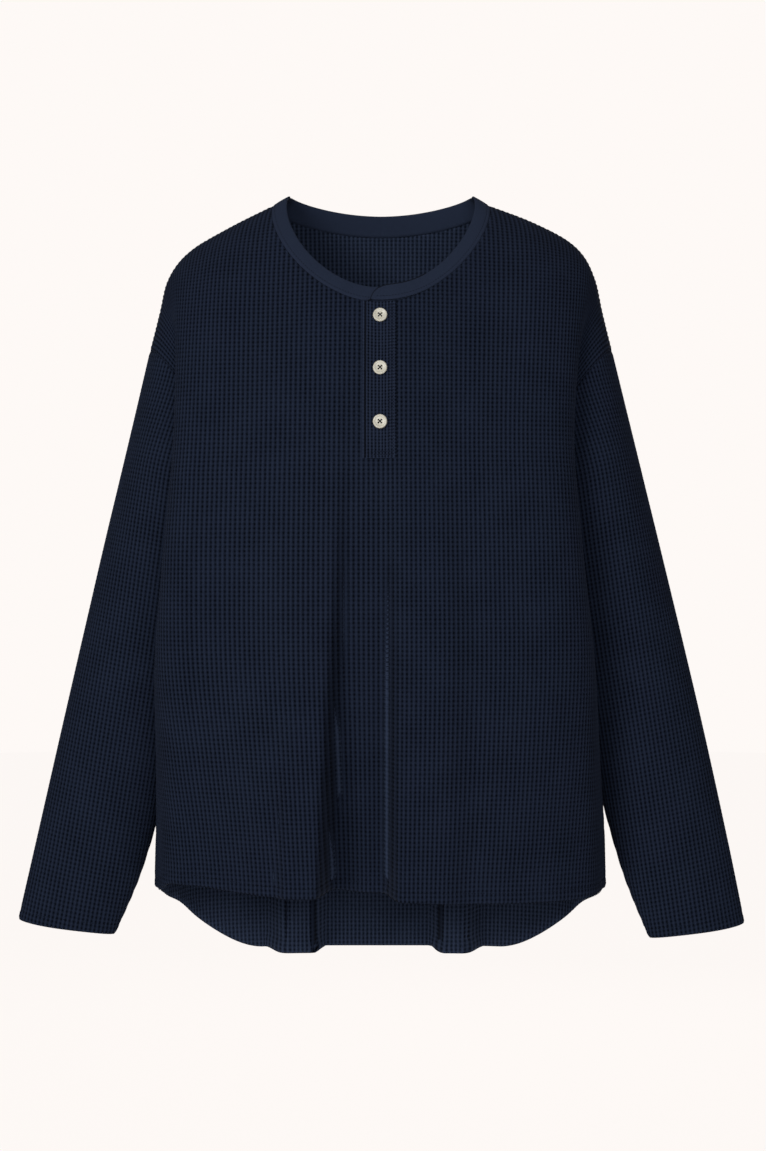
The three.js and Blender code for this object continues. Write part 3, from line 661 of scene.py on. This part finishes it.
def cloth_finish(name, hollow, ridge, waffle_depth=0, waffle_shade=True, loop_width=LOOP_WIDTH,
                 pitch=PITCH / 1000):
    """Matt cotton whose colour goes from hollow to ridge, painted darker in the hollows as shade
    where waffle_shade is set, with its loops, fuzz and soft sheen.
    """
    material, tree, shader = new_material(name, {
        "Roughness": 0.92,
        "Specular IOR Level": 0.02,
        "Sheen Weight": 0.008,
        "Sheen Roughness": 0.5,
        "Sheen Tint": (0.62, 0.72, 1.0, 1.0),
    })
    cloth = tree.nodes.new("ShaderNodeUVMap")
    cloth.uv_map = "cloth"
    cells = tree.nodes.new("ShaderNodeGroup")
    cells.node_tree = waffle
    cells.inputs["Pitch"].default_value = pitch
    strands = tree.nodes.new("ShaderNodeGroup")
    strands.node_tree = yarn
    strands.inputs["Loop width"].default_value = loop_width
    for group in (cells, strands):
        tree.links.new(cloth.outputs["UV"], group.inputs["Vector"])
    washed = noise(tree, cloth.outputs["UV"], 26, 5)
    flecks = maths(tree, "MULTIPLY_ADD", strands.outputs["Fleck"], 0.5, -0.25)
    worn = maths(tree, "MULTIPLY_ADD", washed, 0.36, -0.18)
    # The waffle's height goes into the colour as painted shade, darkening the hollows against the
    # ridges.
    painted_hollow_shade = cells.outputs["Height"] if waffle_shade else 0.5
    shade = maths(tree, "ADD", maths(tree, "ADD", flecks, worn), painted_hollow_shade)
    colour_between(tree, shader, hollow, ridge, shade)
    loops = bump(tree, strands.outputs["Height"], 0.55, 0.00022)
    if waffle_depth:
        relief = bump(tree, cells.outputs["Height"], 1.0, waffle_depth)
        tree.links.new(relief.outputs["Normal"], loops.inputs["Normal"])
    tree.links.new(loops.outputs["Normal"], shader.inputs["Normal"])
    return material


# The outside's hollow colour is painted shade, about ten times darker than its ridges.
knit_outside = cloth_finish("navy_waffle", (0.0010, 0.0016, 0.0035), (0.0104, 0.0152, 0.0300))
# The inside is a lighter copy of the same knit, painted light for the front light that reaches in,
# with painted shade in its hollows and the waffle as bump.
knit_inside_painted_light = cloth_finish(
    "navy_waffle_inside_painted_light", (0.0032, 0.0050, 0.0100), (0.0210, 0.0300, 0.0560), waffle_depth=0.0009,
)


def panel_knit(name, panel, hem, rows_below, groove=lambda u, v: 0):
    def trim(u, v):
        u = min(HALF_PANEL - HALF_GAP, max(HALF_GAP - HALF_PANEL, u))
        return u, trimmed(v, -hem(u), panel_top(panel, u))

    columns = range(-HALF_COLUMNS, HALF_COLUMNS + 1)
    highest = max(panel_top(panel, STEP * k) for k in columns)
    sewn = sew_cloth(
        cut_knit(HALF_COLUMNS, math.ceil(highest / STEP), rows_below, trim),
        partial(panel_place, panel),
        lambda centre: Vector((0, -1 if panel == "front" else 1, 0)),
        lambda u, v: knit_relief(u, v, panel_edge(panel, u, v), v + hem(u)) - groove(u, v),
        lambda u, v: knit_thickness(v + hem(u)) + groove(u, v),
    )
    return finished(name, sewn, (knit_outside, knit_inside_painted_light), "knit")


front = panel_knit("front_knit", "front", front_hem, rows_below=195, groove=placket_groove)
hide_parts("front")

# Back: the other panel of the same knit, with a shallow neckline and a rounded tail that hangs
# below the front. It falls from the shoulder blades in two folds.
TAIL_LENGTH = 83
TAIL_FLAT_SHARE = 0.44
CORNER = {"drop": 7, "start": 222, "full": 268, "end": 18}


def back_hem(u):
    """The rounded tail, let down a little more near each side seam."""
    rise = ease((abs(u) / HALF_PANEL - TAIL_FLAT_SHARE) / (1 - TAIL_FLAT_SHARE))
    grown = ease((abs(u) - CORNER["start"]) / (CORNER["full"] - CORNER["start"]))
    corner = CORNER["drop"] * ease((HALF_PANEL - abs(u)) / CORNER["end"]) * grown
    return SIDE_HEM_DROP - UNDERARM_DROP + TAIL_LENGTH * (1 - rise) + corner


back = panel_knit("back_knit", "back", back_hem, rows_below=230)
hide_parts("back")

# Sleeves: two tubes of the same knit, each closed by one seam under the arm, set into the
# armholes and hemmed at the cuff. They hang with a slight bend at the elbow.
SLEEVE_TILT = math.radians(13.1)
SLEEVE_LENGTH = {-1: 598, 1: 602}
SLEEVE_MIDDLE = 300            # down the sleeve, between its two open ends
CUFF_SKEW = 7
CUFF_HALF = 117
RING_STEPS = 90
SLEEVE = named(
    "along half_width half_depth mid_y left right",
    (0, 54, 72, 14, 0, 0),
    (100, 54, 71, 20, 1, 2),
    (200, 56.5, 60, 24, 2.5, 4),
    (300, 58.5, 49, 23, 2.5, 5),
    (400, 60, 40, 17, 1.5, 4.5),
    (520, 57, 29, 2, -1, 1),
    (601, 49.5, 22, -10, -3, -3),
)
rings = {}


def sleeve_ring(along):
    name = round(along, 2)
    if name not in rings:
        r = read_table(SLEEVE, "along", along)
        lengths = [0.0]
        for k in range(RING_STEPS):
            middle = math.pi * (k + 0.5) / RING_STEPS
            across = r["half_width"] * math.sin(middle)
            deep = r["half_depth"] * math.cos(middle)
            lengths.append(lengths[-1] + math.hypot(across, deep) * math.pi / RING_STEPS)
        rings[name] = r, lengths
    return rings[name]


def ring_place(side, along, turn, forward):
    r, lengths = sleeve_ring(along)
    goal = turn * lengths[-1]
    k = min(RING_STEPS - 1, max(0, bisect.bisect_left(lengths, goal) - 1))
    angle = math.pi * (k + (goal - lengths[k]) / (lengths[k + 1] - lengths[k])) / RING_STEPS
    inwards = r["half_width"] * (1 - math.cos(angle))
    lean = r["left"] if side < 0 else r["right"]
    return Vector((
        ARMHOLE_TOP_X + along * math.sin(SLEEVE_TILT) - inwards * math.cos(SLEEVE_TILT) + lean,
        r["mid_y"] + forward * r["half_depth"] * math.sin(angle),
        -ARMHOLE_TOP_DROP - along * math.cos(SLEEVE_TILT) - inwards * math.sin(SLEEVE_TILT),
    ))


def armhole_place(side, turn, forward):
    column = yoke_column("front" if forward < 0 else "back", side, 1.0)
    place = at_length(column, turn * column[1][-1])
    place.x *= side
    out = (place.x - ARMHOLE_TOP_X) * math.sin(SLEEVE_TILT)
    down = (-ARMHOLE_TOP_DROP - place.z) * math.cos(SLEEVE_TILT)
    return place, out + down


sleeve_tops = {}


def sleeve_top(side, u):
    name = (side, round(u, 3))
    if name not in sleeve_tops:
        along = 40.0
        for _ in range(14):
            turn = min(1.0, abs(u) / sleeve_ring(along)[1][-1])
            along = armhole_place(side, turn, -1 if u > 0 else 1)[1]
        sleeve_tops[name] = along + 2 * HALF_GAP
    return sleeve_tops[name]


def cuff_along(side, u):
    turn = min(1.0, abs(u) / CUFF_HALF)
    return SLEEVE_LENGTH[side] + CUFF_SKEW * 0.5 * (math.cos(math.pi * turn) - 1)


def sleeve_place(side, u, v):
    along = -v
    turn = min(1.0, abs(u) / sleeve_ring(along)[1][-1])
    forward = -1 if u > 0 else 1
    armhole, start = armhole_place(side, turn, forward)
    pull = 1 - ease((along - start) / mix(130, 50, turn))
    place = ring_place(side, along, turn, forward)
    if pull > 0:
        place += (armhole - ring_place(side, start, turn, forward)) * pull
    place.x *= side
    return place


def sleeve_knit(side, name, node):
    underarm = armhole_place(side, 1.0, -1)[1] + 2 * HALF_GAP
    widest = sleeve_ring(underarm)[1][-1]

    def trim(u, v):
        u = min(widest, max(-widest, u))
        along = trimmed(-v, sleeve_top(side, u), cuff_along(side, u))
        half = sleeve_ring(along)[1][-1]
        if abs(u) > half - 0.35 * STEP:
            u = math.copysign(half, u)
        return u, -along

    def from_edge(u, v):
        return min((-v - sleeve_top(side, u)) * 0.8, sleeve_ring(-v)[1][-1] - abs(u))

    def away_from_arm(centre):
        along = (-ARMHOLE_TOP_DROP - centre.z) / math.cos(SLEEVE_TILT)
        middle = (ring_place(side, along, 0, 1) + ring_place(side, along, 1, 1)) / 2
        return centre - Vector((side * middle.x, middle.y, centre.z))

    cut = cut_knit(half_columns=93, rows_above=4, rows_below=276, trim=trim)
    for edge in cut.edges:
        ends = [sleeve_ring(-vert.co.y)[1][-1] - abs(vert.co.x) for vert in edge.verts]
        edge.seam = edge.is_boundary and max(ends) < 0.05
    sewn = sew_cloth(
        cut,
        partial(sleeve_place, side),
        away_from_arm,
        lambda u, v: knit_relief(u, v, from_edge(u, v), v + cuff_along(side, u)),
        lambda u, v: knit_thickness(v + cuff_along(side, u)),
        rims=((-SLEEVE_MIDDLE, math.inf), (-math.inf, -SLEEVE_MIDDLE)),
    )
    sleeve = finished(name, sewn, (knit_outside, knit_inside_painted_light), "knit")
    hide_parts(node)


sleeve_knit(-1, "sleeve_left_knit", "sleeve_left")
sleeve_knit(1, "sleeve_right_knit", "sleeve_right")

# Neckband: a strip of smooth single knit, folded double along its upper edge and stitched to the
# neckline. Its right end is rounded off and lies over the left one.
BAND = 2.4
BAND_WIDTH = 18
BAND_LEAN = {"front": 60, "side": 31.8, "back": 83, "back_power": 12}
PANEL_LEAN = {"front": 76, "side": 23.5, "back": 60, "back_power": 4}
BAND_STITCHES = 4.2            # their height over the seam
BAND_MAP = (0.62, 0.042)       # metres of knit along the strip and round its fold
BAND_END_X = 9                 # how far the upper end reaches past the middle
LAP_LIFT = BAND + 0.9
LAP_TURN = 30                  # degrees round the neck over which the lap comes down
SEAM_ALLOWANCE = ((-0.8, -2.95), (-3.5, -2.95), (-3.7, -2.55), (-3.5, -2.2), (-0.1, -2.2))
band_outside = cloth_finish(
    "navy_band", (0.0100, 0.0142, 0.0270), (0.0140, 0.0198, 0.0372),
    waffle_shade=False, loop_width=0.0011,
)


def neck_seam(turn):
    angle = math.radians(turn)
    panel = "front" if math.cos(angle) > 0 else "back"
    share = NECK_SHARE * min(abs(math.sin(angle)), 0.99999)
    return yoke_column(panel, -1 if math.sin(angle) < 0 else 1, share)[0](0.0), panel


def neck_facing(seam, panel, lean):
    sideways = abs(seam.x / NECK_HALF_WIDTH) ** (2 if panel == "front" else lean["back_power"])
    slope = math.radians(mix(lean[panel], lean["side"], sideways))
    inwards = Vector((-seam.x, -seam.y, 0)).normalized()
    rise = inwards * math.cos(slope) + Vector((0, 0, math.sin(slope)))
    return rise, -inwards * math.sin(slope) + Vector((0, 0, math.cos(slope)))


def band_profile(width):
    """Heights over the seam and depths of the folded strip: up its outer face, down inside, and
    round the narrow seam allowance that lies on the inside of the panel."""
    half = BAND / 2
    profile = []
    for k in range(17):
        height = mix(0.3, width - half, k / 16)
        stitched = 0.35 * max(0, 1 - abs(height - BAND_STITCHES) / 1.1)
        tucked = 0.8 * (1 - ease(height / 2.0))
        profile.append((height, 0.3 * math.sin(math.pi * k / 16) - stitched - tucked))
    for k in range(1, 8):
        turn = math.pi * k / 8
        profile.append((width - half + half * math.sin(turn), half * math.cos(turn) - half))
    for k in range(7):
        profile.append((mix(width - half, 0.3, k / 6), -BAND))
    return [*profile, *SEAM_ALLOWANCE, profile[0]]


Station = namedtuple("Station", "seam rise out seam_out lift profile width")
BAND_FROM = -4.7
BAND_TO = 366.8
BAND_STEPS = 310
band_cut = bmesh.new()
around = len(band_profile(BAND_WIDTH)) - 1
bmesh.ops.create_grid(band_cut, x_segments=BAND_STEPS, y_segments=around, size=1.0)
band_map = band_cut.loops.layers.uv.new("cloth")
for face in band_cut.faces:
    for loop in face.loops:
        along = (loop.vert.co.x + 1) / 2
        loop[band_map].uv = (BAND_MAP[0] * along, BAND_MAP[1] * (loop.vert.co.y + 1) / 2)
stations = {}
for vert in band_cut.verts:
    k = round((vert.co.x + 1) * BAND_STEPS / 2)
    if k not in stations:
        turn = mix(BAND_FROM, BAND_TO, k / BAND_STEPS)
        seam, panel = neck_seam(turn)
        past = min(1.0, max(0.0, 1 - (seam.x + BAND_END_X) / BAND_WIDTH)) if turn < 90 else 0
        width = mix(2.5, BAND_WIDTH, math.sqrt(1 - past * past))
        lift = LAP_LIFT * (1 - ease(turn / LAP_TURN))
        rise, out = neck_facing(seam, panel, BAND_LEAN)
        seam_out = neck_facing(seam, panel, PANEL_LEAN)[1]
        stations[k] = Station(seam, rise, out, seam_out, lift, band_profile(width), width)
    seam, rise, out, seam_out, lift, profile, width = stations[k]
    height, depth = profile[round((vert.co.y + 1) * around / 2)]
    if height < 0:
        allowed = max(0, 1 - lift / 0.4)
        under = (rise - seam_out * rise.dot(seam_out)).normalized()
        vert.co = seam + under * height * allowed + out * lift + seam_out * depth
    else:
        facing = out.lerp(seam_out, (1 - height / width) ** 2).normalized()
        vert.co = seam + rise * height + out * lift + facing * depth
bmesh.ops.remove_doubles(band_cut, verts=band_cut.verts, dist=0.01)
bmesh.ops.edgeloop_fill(band_cut, edges=[edge for edge in band_cut.edges if edge.is_boundary])
bmesh.ops.recalc_face_normals(band_cut, faces=band_cut.faces)
band = finished("neckband_knit", band_cut, (band_outside,), "band")
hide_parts("neckband")

# Placket: a strip of the same knit down the middle of the chest, sewn on along its right side and
# its lower end. Its left side is the open edge, which lies a little loose.
PLACKET_LEFT = -17
PLACKET_RIGHT = 15
PLACKET_LENGTH = 157
RIB = 3.2                      # the placket pulls the columns closer together
SLOT = (-14.6, -13.4)          # beside the open edge, down to the facing
RIBS_LEFT = -13.2
SEWN_LINES = {"placket_stitches_outer": 12.6, "placket_stitches_inner": 9.4}
SEWN_ENDS = {"placket_end_stitches": 153.5, "placket_bar_stitches": 150.5}
FACING = 1.4                   # the facing's fold makes the open edge this much thicker
front_length = yoke_column("front", 1, 0.0)[1][-1]


def front_place(x, distance):
    def at(across, down):
        u = x + across
        column = yoke_column("front", -1 if u < 0 else 1, abs(u) / HALF_PANEL)
        share = min(1.0, max(0.0, (distance + down) / front_length))
        return at_length(column, share * column[1][-1])

    normal = (at(3, 0) - at(-3, 0)).cross(at(0, 1.5) - at(0, -1.5)).normalized()
    return at(0, 0), normal if normal.y < 0 else -normal


def placket_height(x, distance):
    across = (x - PLACKET_LEFT) / (PLACKET_RIGHT - PLACKET_LEFT)
    loose = 1.2 * (1 - ease(across / 0.5)) * ease((PLACKET_LENGTH - distance) / front_length / 0.3)
    pressed = 1.5 * (1 - ease((PLACKET_RIGHT - x) / 5))
    return 2 * HALF_GAP + KNIT + loose - pressed


def placket_relief(x, distance):
    """Ribs between the sewn margins, and the slot with the facing's edge beyond it."""
    if x < SLOT[0]:
        return -1.7 - 0.5 * (1 - ease(x - PLACKET_LEFT))
    if x < SLOT[1]:
        return -3.0
    rib = math.cos(math.pi * x / RIB) ** 2
    tuft = math.cos(math.pi * distance / RIB) ** 2
    from_edge = min(x - RIBS_LEFT, PLACKET_RIGHT - x, PLACKET_LENGTH - distance)
    hollow = 0.9 * (1 - rib * mix(0.45, 1, tuft)) * ease((from_edge - 0.6) / 2.4)
    sewn = sum(0.45 * max(0, 1 - abs(x - line) / 0.8) for line in SEWN_LINES.values())
    return -hollow - sewn - 0.7 * (1 - ease(from_edge / 1.4))


def placket_place(x, distance):
    point, normal = front_place(x, distance)
    return point + normal * placket_height(x, distance)


placket_cut = bmesh.new()
bmesh.ops.create_grid(placket_cut, x_segments=64, y_segments=146, size=1.0)
placket_map = placket_cut.loops.layers.uv.new("cloth")
for vert in placket_cut.verts:
    x = mix(PLACKET_LEFT, PLACKET_RIGHT, (vert.co.x + 1) / 2)
    vert.co = (x, mix(1.0, PLACKET_LENGTH, (vert.co.y + 1) / 2), 0)
for face in placket_cut.faces:
    for loop in face.loops:
        loop[placket_map].uv = (loop.vert.co.x / 1000, -loop.vert.co.y / 1000)
# The ribs' hollows are painted near black as shade, between lighter ribs.
placket_finish = cloth_finish(
    "navy_ribs", (0.0006, 0.0010, 0.0024), (0.0135, 0.0192, 0.0372), pitch=RIB / 1000,
)
placket_sewn = sew_cloth(
    placket_cut,
    placket_place,
    lambda centre: Vector((0, -1, 0)),
    placket_relief,
    lambda x, distance: KNIT + FACING * (1 - ease((x + 13.5) / 2)),
)
placket = finished("placket_knit", placket_sewn, (placket_finish, knit_inside_painted_light), "knit")
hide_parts("placket")

# Buttons: three cream buttons with a raised rim and four holes, each held by a cross of dark
# thread.
BUTTON_RADIUS = 7.0
BUTTON_X = -0.6
BUTTON_DISTANCES = (15.5, 68.5, 121.5)
HOLE_RADIUS = 0.8
HOLE_OFFSET = 1.5
THREAD_RADIUS = 0.27
THREAD_APART = 0.48
THREAD_SEAT = 1.62             # height of the strands' ends over the button's foot


def button_seat(x, distance):
    centre, normal = front_place(x, distance)
    highest = placket_height(x, distance)
    for k in range(12):
        angle = 2 * math.pi * k / 12
        rim_x = x + BUTTON_RADIUS * math.cos(angle)
        rim_distance = distance + BUTTON_RADIUS * math.sin(angle)
        rim, rim_normal = front_place(rim_x, rim_distance)
        rim += rim_normal * placket_height(rim_x, rim_distance)
        highest = max(highest, (rim - centre).dot(normal))
    return centre + normal * (highest + 2 * HALF_GAP), normal


def turned_button():
    """A disc turned from a profile, with a raised rim and a dished face, and four holes."""
    turned = bmesh.new()
    profile = [
        (0, 0), (5.4, 0), (6.3, 0.25), (6.85, 0.8), (7.0, 1.4), (6.85, 2.1), (6.45, 2.6),
        (5.95, 2.8), (5.4, 2.72), (4.9, 2.4), (4.3, 2.18), (3.0, 2.1), (0, 2.06),
    ]
    corners = [turned.verts.new((radius, 0, height)) for radius, height in profile]
    edges = [turned.edges.new(pair) for pair in zip(corners, corners[1:])]
    bmesh.ops.spin(
        turned, geom=corners + edges, axis=(0, 0, 1), cent=(0, 0, 0),
        angle=2 * math.pi, steps=56, use_merge=True,
    )
    bmesh.ops.remove_doubles(turned, verts=turned.verts, dist=0.001)
    bmesh.ops.recalc_face_normals(turned, faces=turned.faces)
    disc = in_scene("button_blank", mesh_of("button_blank", turned))
    drills = bmesh.new()
    for x in (-HOLE_OFFSET, HOLE_OFFSET):
        for y in (-HOLE_OFFSET, HOLE_OFFSET):
            bmesh.ops.create_cone(
                drills, cap_ends=True, segments=20, radius1=HOLE_RADIUS, radius2=HOLE_RADIUS,
                depth=12, matrix=Matrix.Translation((x, y, 1)),
            )
    drill = in_scene("button_drills", mesh_of("button_drills", drills))
    holes = disc.modifiers.new("holes", "BOOLEAN")
    holes.operation = "DIFFERENCE"
    holes.solver = "EXACT"
    holes.object = drill
    worked = disc.evaluated_get(bpy.context.evaluated_depsgraph_get())
    drilled = bpy.data.meshes.new_from_object(worked)
    bpy.data.objects.remove(disc)
    bpy.data.objects.remove(drill)
    return drilled


button_finish, tree, shader = new_material("cream_button", {
    "Roughness": 0.38,
    "Coat Weight": 0.15,
    "Coat Roughness": 0.2,
    "Subsurface Weight": 0.15,
    "Subsurface Radius": (0.002, 0.0016, 0.001),
})
clouds = noise(tree, tree.nodes.new("ShaderNodeTexCoord").outputs["Object"], 260, 3, 1.2)
colour_between(tree, shader, (0.315, 0.305, 0.250), (0.43, 0.415, 0.355), clouds)
turning = bump(tree, clouds, 0.15, 0.0001)
tree.links.new(turning.outputs["Normal"], shader.inputs["Normal"])

# Near-black navy: the thread's own colour on stitches and buttons, and painted shadow where it
# makes the open-edge cord and the row under the front hem.
thread_and_shadow_finish, tree, shader = new_material("navy_thread_and_painted_shadow", {
    "Roughness": 0.9,
    "Specular IOR Level": 0.05,
})
twist = noise(tree, tree.nodes.new("ShaderNodeTexCoord").outputs["Object"], 2600, 2)
colour_between(tree, shader, (0.0010, 0.0014, 0.0028), (0.0040, 0.0056, 0.0110), twist)
twisted = bump(tree, twist, 0.5, 0.0001)
tree.links.new(twisted.outputs["Normal"], shader.inputs["Normal"])


def crossed_threads():
    """Two pairs of strands, each an arch from one hole to the hole across, over the middle."""
    threads = bmesh.new()
    reach = Matrix.Translation((HOLE_OFFSET * math.sqrt(2), 0, 0))
    for k, angle in enumerate((45, 135)):
        for offset in (-THREAD_APART / 2, THREAD_APART / 2):
            before = set(threads.verts)
            ring = bmesh.ops.create_circle(threads, segments=8, radius=THREAD_RADIUS, matrix=reach)
            edges = list({edge for vert in ring["verts"] for edge in vert.link_edges})
            bmesh.ops.spin(
                threads, geom=ring["verts"] + edges, axis=(0, 1, 0), cent=(0, 0, 0),
                angle=-math.pi, steps=14,
            )
            arch = [vert for vert in threads.verts if vert not in before]
            turn = Matrix.Rotation(math.radians(angle), 3, "Z")
            bmesh.ops.scale(threads, verts=arch, vec=(1, 1, 0.36 + 0.1 * k))
            bmesh.ops.translate(threads, verts=arch, vec=(0, offset, THREAD_SEAT))
            bmesh.ops.rotate(threads, verts=arch, cent=(0, 0, 0), matrix=turn)
    bmesh.ops.edgeloop_fill(threads, edges=[edge for edge in threads.edges if edge.is_boundary])
    bmesh.ops.recalc_face_normals(threads, faces=threads.faces)
    return mesh_of("threads", threads)


drilled = turned_button()
crossed = crossed_threads()
for k, distance in enumerate(BUTTON_DISTANCES, 1):
    seat, normal = button_seat(BUTTON_X, distance)
    seated = Matrix.Translation(seat) @ normal.to_track_quat("Z", "Y").to_matrix().to_4x4()
    for kind, shape, finish, slot in (
        ("button", drilled, button_finish, "button"),
        ("thread", crossed, thread_and_shadow_finish, "knit"),
    ):
        work = bmesh.new()
        work.from_mesh(shape)
        bmesh.ops.transform(work, matrix=seated, verts=work.verts)
        piece = finished(f"{kind}_{k}_sewn", work, (finish,), slot)
        if kind == "button":
            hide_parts(f"button_{k}")

# Sewing: rows of short navy stitches, round the neckband just over its seam, along the hems, and
# down the placket's sewn side and across its end; a row of the same dark stitches just under the
# front hem's edge as painted shadow; and a dark cord laid as painted shadow in the slit where the
# band's upper end and the placket lie open.
STITCH = 2.1
STITCH_SPACING = 3.0
STITCH_RADIUS = 0.34
# The dark cord below is painted shadow in the slit of the open edges.
SHADOW_CORD_RADIUS = 0.8
SHADOW_CORD_X = -14.15
SHADOW_CORD_DEPTH = 1.9               # its middle, under the outer face of the placket
SHADOW_CORD_STATIONS = 26             # where it starts, at the upper end of the band


def facing_of(place, u, v):
    across = place(u + 1, v) - place(u - 1, v)
    return across.cross(place(u, v + 1) - place(u, v - 1)).normalized()


def row_of_stitches(name, points, lifts):
    """Small rounded stitches laid end to end along the points, each on its own lift."""
    row = bmesh.new()
    shape = Matrix.Diagonal((STITCH / 2, STITCH_RADIUS, STITCH_RADIUS, 1))
    covered = STITCH_SPACING / 2
    for (a, b), lift in zip(zip(points, points[1:]), lifts):
        length = (b - a).length
        while covered < length:
            along = (b - a).normalized()
            seat = a + along * covered + lift
            turn = along.to_track_quat("X", "Z").to_matrix().to_4x4()
            bmesh.ops.create_icosphere(
                row, subdivisions=1, radius=1.0, matrix=Matrix.Translation(seat) @ turn @ shape,
            )
            covered += STITCH_SPACING
        covered -= length
    finished(name, row, (thread_and_shadow_finish,), "knit")


def hem_row(name, place, hem, half, outwards, above=HEM_STITCHES, sunk=0.62):
    points = []
    lifts = []
    for k in range(201):
        u = mix(-half, half, k / 200)
        v = above - hem(u)
        points.append(place(u, v))
        lifts.append(facing_of(place, min(half - 2, max(2 - half, u)), v) * (-sunk * outwards))
    row_of_stitches(name, points, lifts)


on_front = partial(panel_place, "front")
hem_row("front_hem_stitches", on_front, front_hem, HALF_PANEL - 3, 1)
# A row of dark stitches just under the front hem's edge, sunk inwards, is painted shadow under the
# hem.
hem_row("front_hem_shadow_stitches", on_front, front_hem, HALF_PANEL - 30, 1, above=-0.45, sunk=1.2)
hem_row("back_hem_stitches", partial(panel_place, "back"), back_hem, HALF_PANEL - 3, -1)
for side, name in ((-1, "sleeve_left_hem_stitches"), (1, "sleeve_right_hem_stitches")):
    hem_row(name, partial(sleeve_place, side), partial(cuff_along, side), CUFF_HALF - 2, -side)

band_points = []
band_lifts = []
for k in range(BAND_STEPS + 1):
    at = stations[k]
    if at.width > 12:
        facing = at.out.lerp(at.seam_out, (1 - BAND_STITCHES / at.width) ** 2).normalized()
        band_points.append(at.seam + at.rise * BAND_STITCHES + at.out * at.lift)
        band_lifts.append(facing * -0.12)
row_of_stitches("neckband_stitches", band_points, band_lifts)


def placket_row(name, places, sunk):
    points = [placket_place(x, distance) for x, distance in places]
    lifts = [front_place(x, distance)[1] * -sunk for x, distance in places]
    row_of_stitches(name, points, lifts)


for name, x in SEWN_LINES.items():
    placket_row(name, [(x, mix(3, PLACKET_LENGTH - 3, k / 40)) for k in range(41)], 0.4)
for name, distance in SEWN_ENDS.items():
    placket_row(name, [(mix(-12.5, 13.2, k / 8), distance) for k in range(9)], 0.1)

# A dark cord along the slit, from the band's upper end down the placket's open edge, as painted
# shadow.
shadow_cord_points = []
for k in range(SHADOW_CORD_STATIONS, -1, -1):
    at = stations[k]
    shadow_cord_points.append(at.seam + at.rise * (at.width + 0.45) + at.out * (at.lift - BAND * 0.6))
end = stations[0]
for k in range(1, 4):
    height = mix(end.width, 0.2, k / 3)
    shadow_cord_points.append(end.seam + end.rise * height + end.out * (end.lift - BAND * 0.6))
for k in range(50):
    distance = mix(1.5, PLACKET_LENGTH - 1, k / 49)
    point, normal = front_place(SHADOW_CORD_X, distance)
    shadow_cord_points.append(point + normal * (placket_height(SHADOW_CORD_X, distance) - SHADOW_CORD_DEPTH))
edge = bmesh.new()
rim = bmesh.ops.create_circle(edge, segments=8, radius=SHADOW_CORD_RADIUS)["verts"]
lead = (shadow_cord_points[1] - shadow_cord_points[0]).normalized()
bmesh.ops.rotate(edge, verts=rim, cent=(0, 0, 0), matrix=lead.to_track_quat("Z", "Y").to_matrix())
bmesh.ops.translate(edge, verts=rim, vec=shadow_cord_points[0])
loop_edges = list(edge.edges)
for a, b, after in zip(shadow_cord_points, shadow_cord_points[1:], shadow_cord_points[2:] + [None]):
    grown = bmesh.ops.extrude_edge_only(edge, edges=loop_edges)["geom"]
    rim = only(BMVert, grown)
    loop_edges = only(BMEdge, grown)
    onward = ((after or b) - (b if after else a)).normalized()
    bmesh.ops.translate(edge, verts=rim, vec=b - a)
    bmesh.ops.rotate(edge, verts=rim, cent=b, matrix=lead.rotation_difference(onward).to_matrix())
    lead = onward
bmesh.ops.edgeloop_fill(edge, edges=[item for item in edge.edges if item.is_boundary])
bmesh.ops.recalc_face_normals(edge, faces=edge.faces)
finished("open_edge_shadow_cord", edge, (thread_and_shadow_finish,), "knit")
